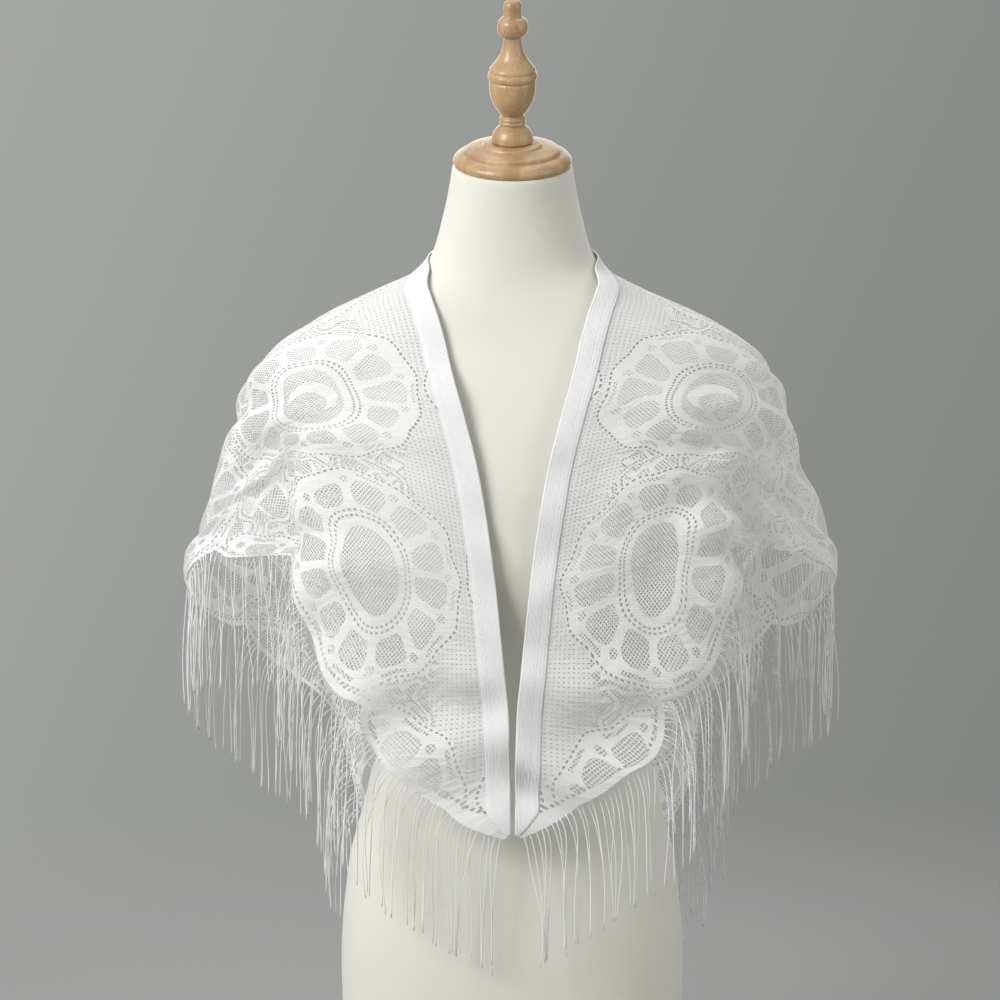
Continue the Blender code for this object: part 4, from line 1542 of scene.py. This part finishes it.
    def make_fringe(self) -> bpy.types.Object:
        """The fringe: threads that leave the hem square to it, bend down and cling together."""
        fringe = self.fringe
        chance = np.random.default_rng(SEED + 1)
        lines = self.clumped(self.hanging_threads(chance), chance)
        lines = self.drape.figure.kept_off(lines, fringe.room)
        points, thread = tubes(lines, fringe.radius, fringe.sides, chance)
        count = lines.shape[1]
        faces = []
        for n in range(len(lines)):
            faces += capped_faces(count, fringe.sides, n * count * fringe.sides)
        piece = make_piece("thread_fringe", points, faces, ThreadFinish().material())
        give_vectors(piece, "thread", thread)
        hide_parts(*nodes_named("fringe_"))
        log.info("thread fringe: %d threads", len(lines))
        return piece

    def hanging_threads(self, chance: np.random.Generator) -> np.ndarray:
        """The middle line of each thread, before neighbours cling together."""
        fringe = self.fringe
        hem, out = self.hem_line()
        run = running_length(hem)
        places = np.arange(self.least_reach, run[-1] - self.least_reach, fringe.spacing)
        places += chance.uniform(-fringe.strays, fringe.strays, len(places))
        roots, ways = (
            np.stack([np.interp(places, run, held[:, k]) for k in range(3)], axis=-1) for held in (hem, out)
        )
        length = fringe.length + chance.uniform(*fringe.uneven, len(places))
        spring = chance.uniform(*fringe.springs, len(places))
        sway = chance.normal(0, fringe.sway, (len(places), 3))
        ways = unit(unit(ways) + chance.normal(0, fringe.splay, ways.shape))
        down = np.array([0.0, 0.0, -1.0])
        line = [roots - ways * fringe.sewn]
        point = roots
        for k in range(fringe.steps):
            gone = (k + 0.5) / fringe.steps
            stiff = np.exp(-gone * length / spring)[:, None]
            bend = sway * math.sin(math.pi * gone * 1.3)
            heading = unit(ways * stiff + (down + bend) * (1 - stiff))
            point = point + heading * (length / fringe.steps)[:, None]
            line.append(point)
        return np.stack(line, axis=1)

    def clumped(self, lines: np.ndarray, chance: np.random.Generator) -> np.ndarray:
        """The threads with the ends of neighbours drawn together."""
        lines = lines.copy()
        share = np.linspace(0, 1, lines.shape[1])[:, None]
        n = 0
        while n < len(lines):
            size = int(chance.choice(self.fringe.bunches))
            group = slice(n, min(n + size, len(lines)))
            middle = lines[group].mean(axis=0, keepdims=True)
            pull = chance.uniform(*self.fringe.pulls) * smooth_step((share - 0.15) / 0.85)
            lines[group] += (middle - lines[group]) * pull
            n += size
        return lines


def tubes(lines: np.ndarray, radius: float, sides: int, chance: np.random.Generator) -> tuple:
    """The points of round tubes along lines.

    Args:
        lines: Each tube's points, all tubes alike in number.
        radius: The tubes' radius.
        sides: The sides of each tube.
        chance: Where each tube's own number comes from.

    Returns:
        The points, and for each its running length, its turn round the tube and the tube's number.
    """
    along = unit(np.gradient(lines, axis=1))
    across = unit(np.cross(along, np.array([0.31, 0.95, 0.02])))
    up = np.cross(along, across)
    angle = np.arange(sides) / sides * TAU
    ring = across[:, :, None] * np.cos(angle)[:, None] + up[:, :, None] * np.sin(angle)[:, None]
    points = lines[:, :, None] + ring * radius
    steps = np.linalg.norm(np.diff(lines, axis=1), axis=2)
    run = np.concatenate([np.zeros((len(lines), 1)), np.cumsum(steps, axis=1)], axis=1)
    held = np.zeros(points.shape)
    held[..., 0] = run[:, :, None]
    held[..., 1] = angle / TAU
    held[..., 2] = chance.uniform(0, 1, len(lines))[:, None, None]
    return points.reshape(-1, 3), held.reshape(-1, 3)


@dataclass
class DressForm:
    """The limbless form: its covered torso, and its turned cap and finial on the leaning neck.

    Attributes:
        figure: The form's surface.
        lean: How far the neck's top leans forward.
        neck_top: The height of the neck's top.
        lean_start: Where the lean begins.
        sides: Sides round the torso.
        levels: Level cuts up the torso between its rounded foot and rim.
        turned_sides: Sides round the turned pieces.
        seam: The gap between the neck's top and the cap.
    """

    figure: Figure
    lean: float = math.radians(16)
    neck_top: float = 0.931
    lean_start: float = 0.868
    sides: int = 144
    levels: int = 190
    turned_sides: int = 96
    seam: float = 0.0003

    def build(self) -> None:
        """Makes the torso, the cap and the finial."""
        self.make_torso()
        beech = BeechFinish().material()
        self.make_turned("beech_cap", CAP_OUTLINE, beech, "neck_cap")
        self.make_turned("beech_finial", FINIAL_OUTLINE, beech, "finial")

    def make_torso(self) -> None:
        """The torso, level cuts below and leaning ones up the neck."""
        top = self.neck_top
        foot = np.array([0.0, 0.0008, 0.002, 0.0035, 0.006, 0.010])
        body = np.linspace(0.014, top - 0.003, self.levels)
        rim = top - np.array([0.0012, 0.0003, 0.0])
        heights = np.concatenate([foot, body, rim])
        foot_drawn = (0.006, 0.0035, 0.0018, 0.0008, 0.0002, 0.0)
        drawn = np.concatenate([foot_drawn, np.zeros(self.levels), (0.0004, 0.0012, 0.0022)])
        azimuths = np.arange(self.sides) * TAU / self.sides
        rings = []
        for height, inward in zip(heights, drawn):
            level = np.full(self.sides, height)
            cut = self.figure.around(azimuths, level, self.figure.form_radius(azimuths, level) - inward)
            lean = self.lean * float(smooth_step((height - self.lean_start) / (top - self.lean_start)))
            centre = self.figure.around(np.array(0.0), np.array(height), np.array(0.0))
            forward = centre[1] - cut[:, 1]
            cut[:, 1] = centre[1] - forward * math.cos(lean)
            cut[:, 2] = height - forward * math.sin(lean)
            rings.append(cut)
        faces = capped_faces(len(heights), self.sides)
        piece = make_piece("dress_form", np.array(rings), faces, JerseyFinish().material())
        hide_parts("torso")
        log.info("dress form: %d faces", len(faces))

    def make_turned(
        self, name: str, outline: Sequence[TurnRow], wood: bpy.types.Material, node: str
    ) -> None:
        """A turned piece on the leaning neck, its outline rounded and spun about its own axis."""
        radii = np.array([row.radius for row in outline])
        heights = np.array([row.height for row in outline])
        run = np.concatenate([[0.0], np.cumsum(np.hypot(np.diff(radii), np.diff(heights)))])
        fine = np.linspace(0, run[-1], 4 * len(outline))
        fine = np.unique(np.concatenate([fine, run]))
        radii, heights = through(run, radii, fine), through(run, heights, fine)
        closed_top = radii[-1] < 0.01
        radii, heights = (radii[:-1], heights[:-1]) if closed_top else (radii, heights)
        angle = np.arange(self.turned_sides) * TAU / self.turned_sides
        points = np.broadcast_arrays(
            radii[:, None] * np.cos(angle), radii[:, None] * np.sin(angle), heights[:, None]
        )
        local = np.stack(points, axis=-1).reshape(-1, 3) * MM
        seat = self.figure.around(np.array(0.0), np.array(self.neck_top), np.array(0.0))
        axis = np.array([0.0, -math.sin(self.lean), math.cos(self.lean)])
        forward = np.array([0.0, -math.cos(self.lean), -math.sin(self.lean)])
        right = np.array([1.0, 0.0, 0.0])
        world = seat + axis * (self.seam + local[:, 2:]) + forward * local[:, 1:2] + right * local[:, :1]
        faces = [face[::-1] for face in capped_faces(len(radii), self.turned_sides)]
        piece = make_piece(name, world, faces, wood)
        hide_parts(node)
        log.info("%s: %d faces", name, len(faces))


@dataclass
class Studio:
    """The plain pale floor, soft lights and the camera."""

    grey: tuple = (0.27, 0.275, 0.27)
    air_light: tuple = (0.425, 0.435, 0.423)
    air_dark: tuple = (0.215, 0.222, 0.213)
    aim: tuple = (-0.011, 0.0, 0.630)
    elevation: float = math.radians(6)
    distance: float = 3.37
    lens: float = 135.0
    floor_rings: tuple = (0.4, 0.9, 1.5, 2.2)
    floor_fade: tuple = (0.45, 2.09)
    floor_sides: int = 96

    def build(self) -> None:
        """Makes the floor, the lights and the camera."""
        self.make_floor()
        for lamp in LAMPS:
            self.make_light(lamp)
        air = AirRecipe("studio_air")
        right, _, up = air.place("Generated")
        share = (0.48 - right * 2.6 + up * 1.1).between(-0.35, 1.35)
        air.set_shader(Color=air.blend(share, self.air_dark, self.air_light))
        bpy.context.scene.view_settings.view_transform = "Standard"
        camera = bpy.data.objects.new("camera", bpy.data.cameras.new("camera"))
        camera.data.lens = self.lens
        back = np.array([0.0, -math.cos(self.elevation), math.sin(self.elevation)])
        camera.location = np.array(self.aim) + back * self.distance
        camera.rotation_euler = (math.pi / 2 - self.elevation, 0, 0)
        bpy.context.scene.collection.objects.link(camera)
        bpy.context.scene.camera = camera

    def make_floor(self) -> None:
        """A round floor that fades into the air round it."""
        angle = np.arange(self.floor_sides) / self.floor_sides * TAU
        edge = np.stack([np.cos(angle), np.sin(angle), np.zeros_like(angle)], axis=-1)
        points = np.concatenate([edge * reach for reach in self.floor_rings]).tolist()
        faces = [face[::-1] for face in ring_faces(len(self.floor_rings), self.floor_sides)]
        faces.append(tuple(range(self.floor_sides)))
        mesh = bpy.data.meshes.new("floor")
        mesh.from_pydata(points, [], faces)
        make = Recipe("floor_paper")
        x, y, _ = make.place("Object")
        away = (x * x + y * y).root()
        shown = 1 - away.between(*self.floor_fade)
        make.set_shader(Base_Color=(*self.grey, 1.0), Roughness=0.9, Alpha=shown)
        mesh.materials.append(make.material)
        floor = bpy.data.objects.new("floor", mesh)
        bpy.context.scene.collection.objects.link(floor)

    def make_light(self, lamp: Lamp) -> None:
        """A light that faces the shawl."""
        light = bpy.data.lights.new(lamp.name, "AREA")
        light.size = lamp.size
        light.energy = lamp.power
        held = bpy.data.objects.new(lamp.name, light)
        held.location = lamp.place
        aim = np.array(self.aim) - np.array(lamp.place)
        rise = math.atan2(aim[2], math.hypot(aim[0], aim[1]))
        held.rotation_euler = (math.pi / 2 + rise, 0, math.atan2(aim[1], aim[0]) - math.pi / 2)
        bpy.context.scene.collection.objects.link(held)


def plain(box: Sequence) -> list:
    """A box as plain lists of numbers."""
    return [[float(x) for x in corner] for corner in box]


def main() -> None:
    """Builds the form, the shawl and the studio round the frame."""
    logging.basicConfig(level=logging.INFO, format="%(name)s %(message)s")
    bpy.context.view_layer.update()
    figure = Figure()
    cut = FlatCut()
    DressForm(figure).build()
    Shawl(Drape(figure, cut)).build()
    Studio().build()


if __name__ == "__main__":
    main()
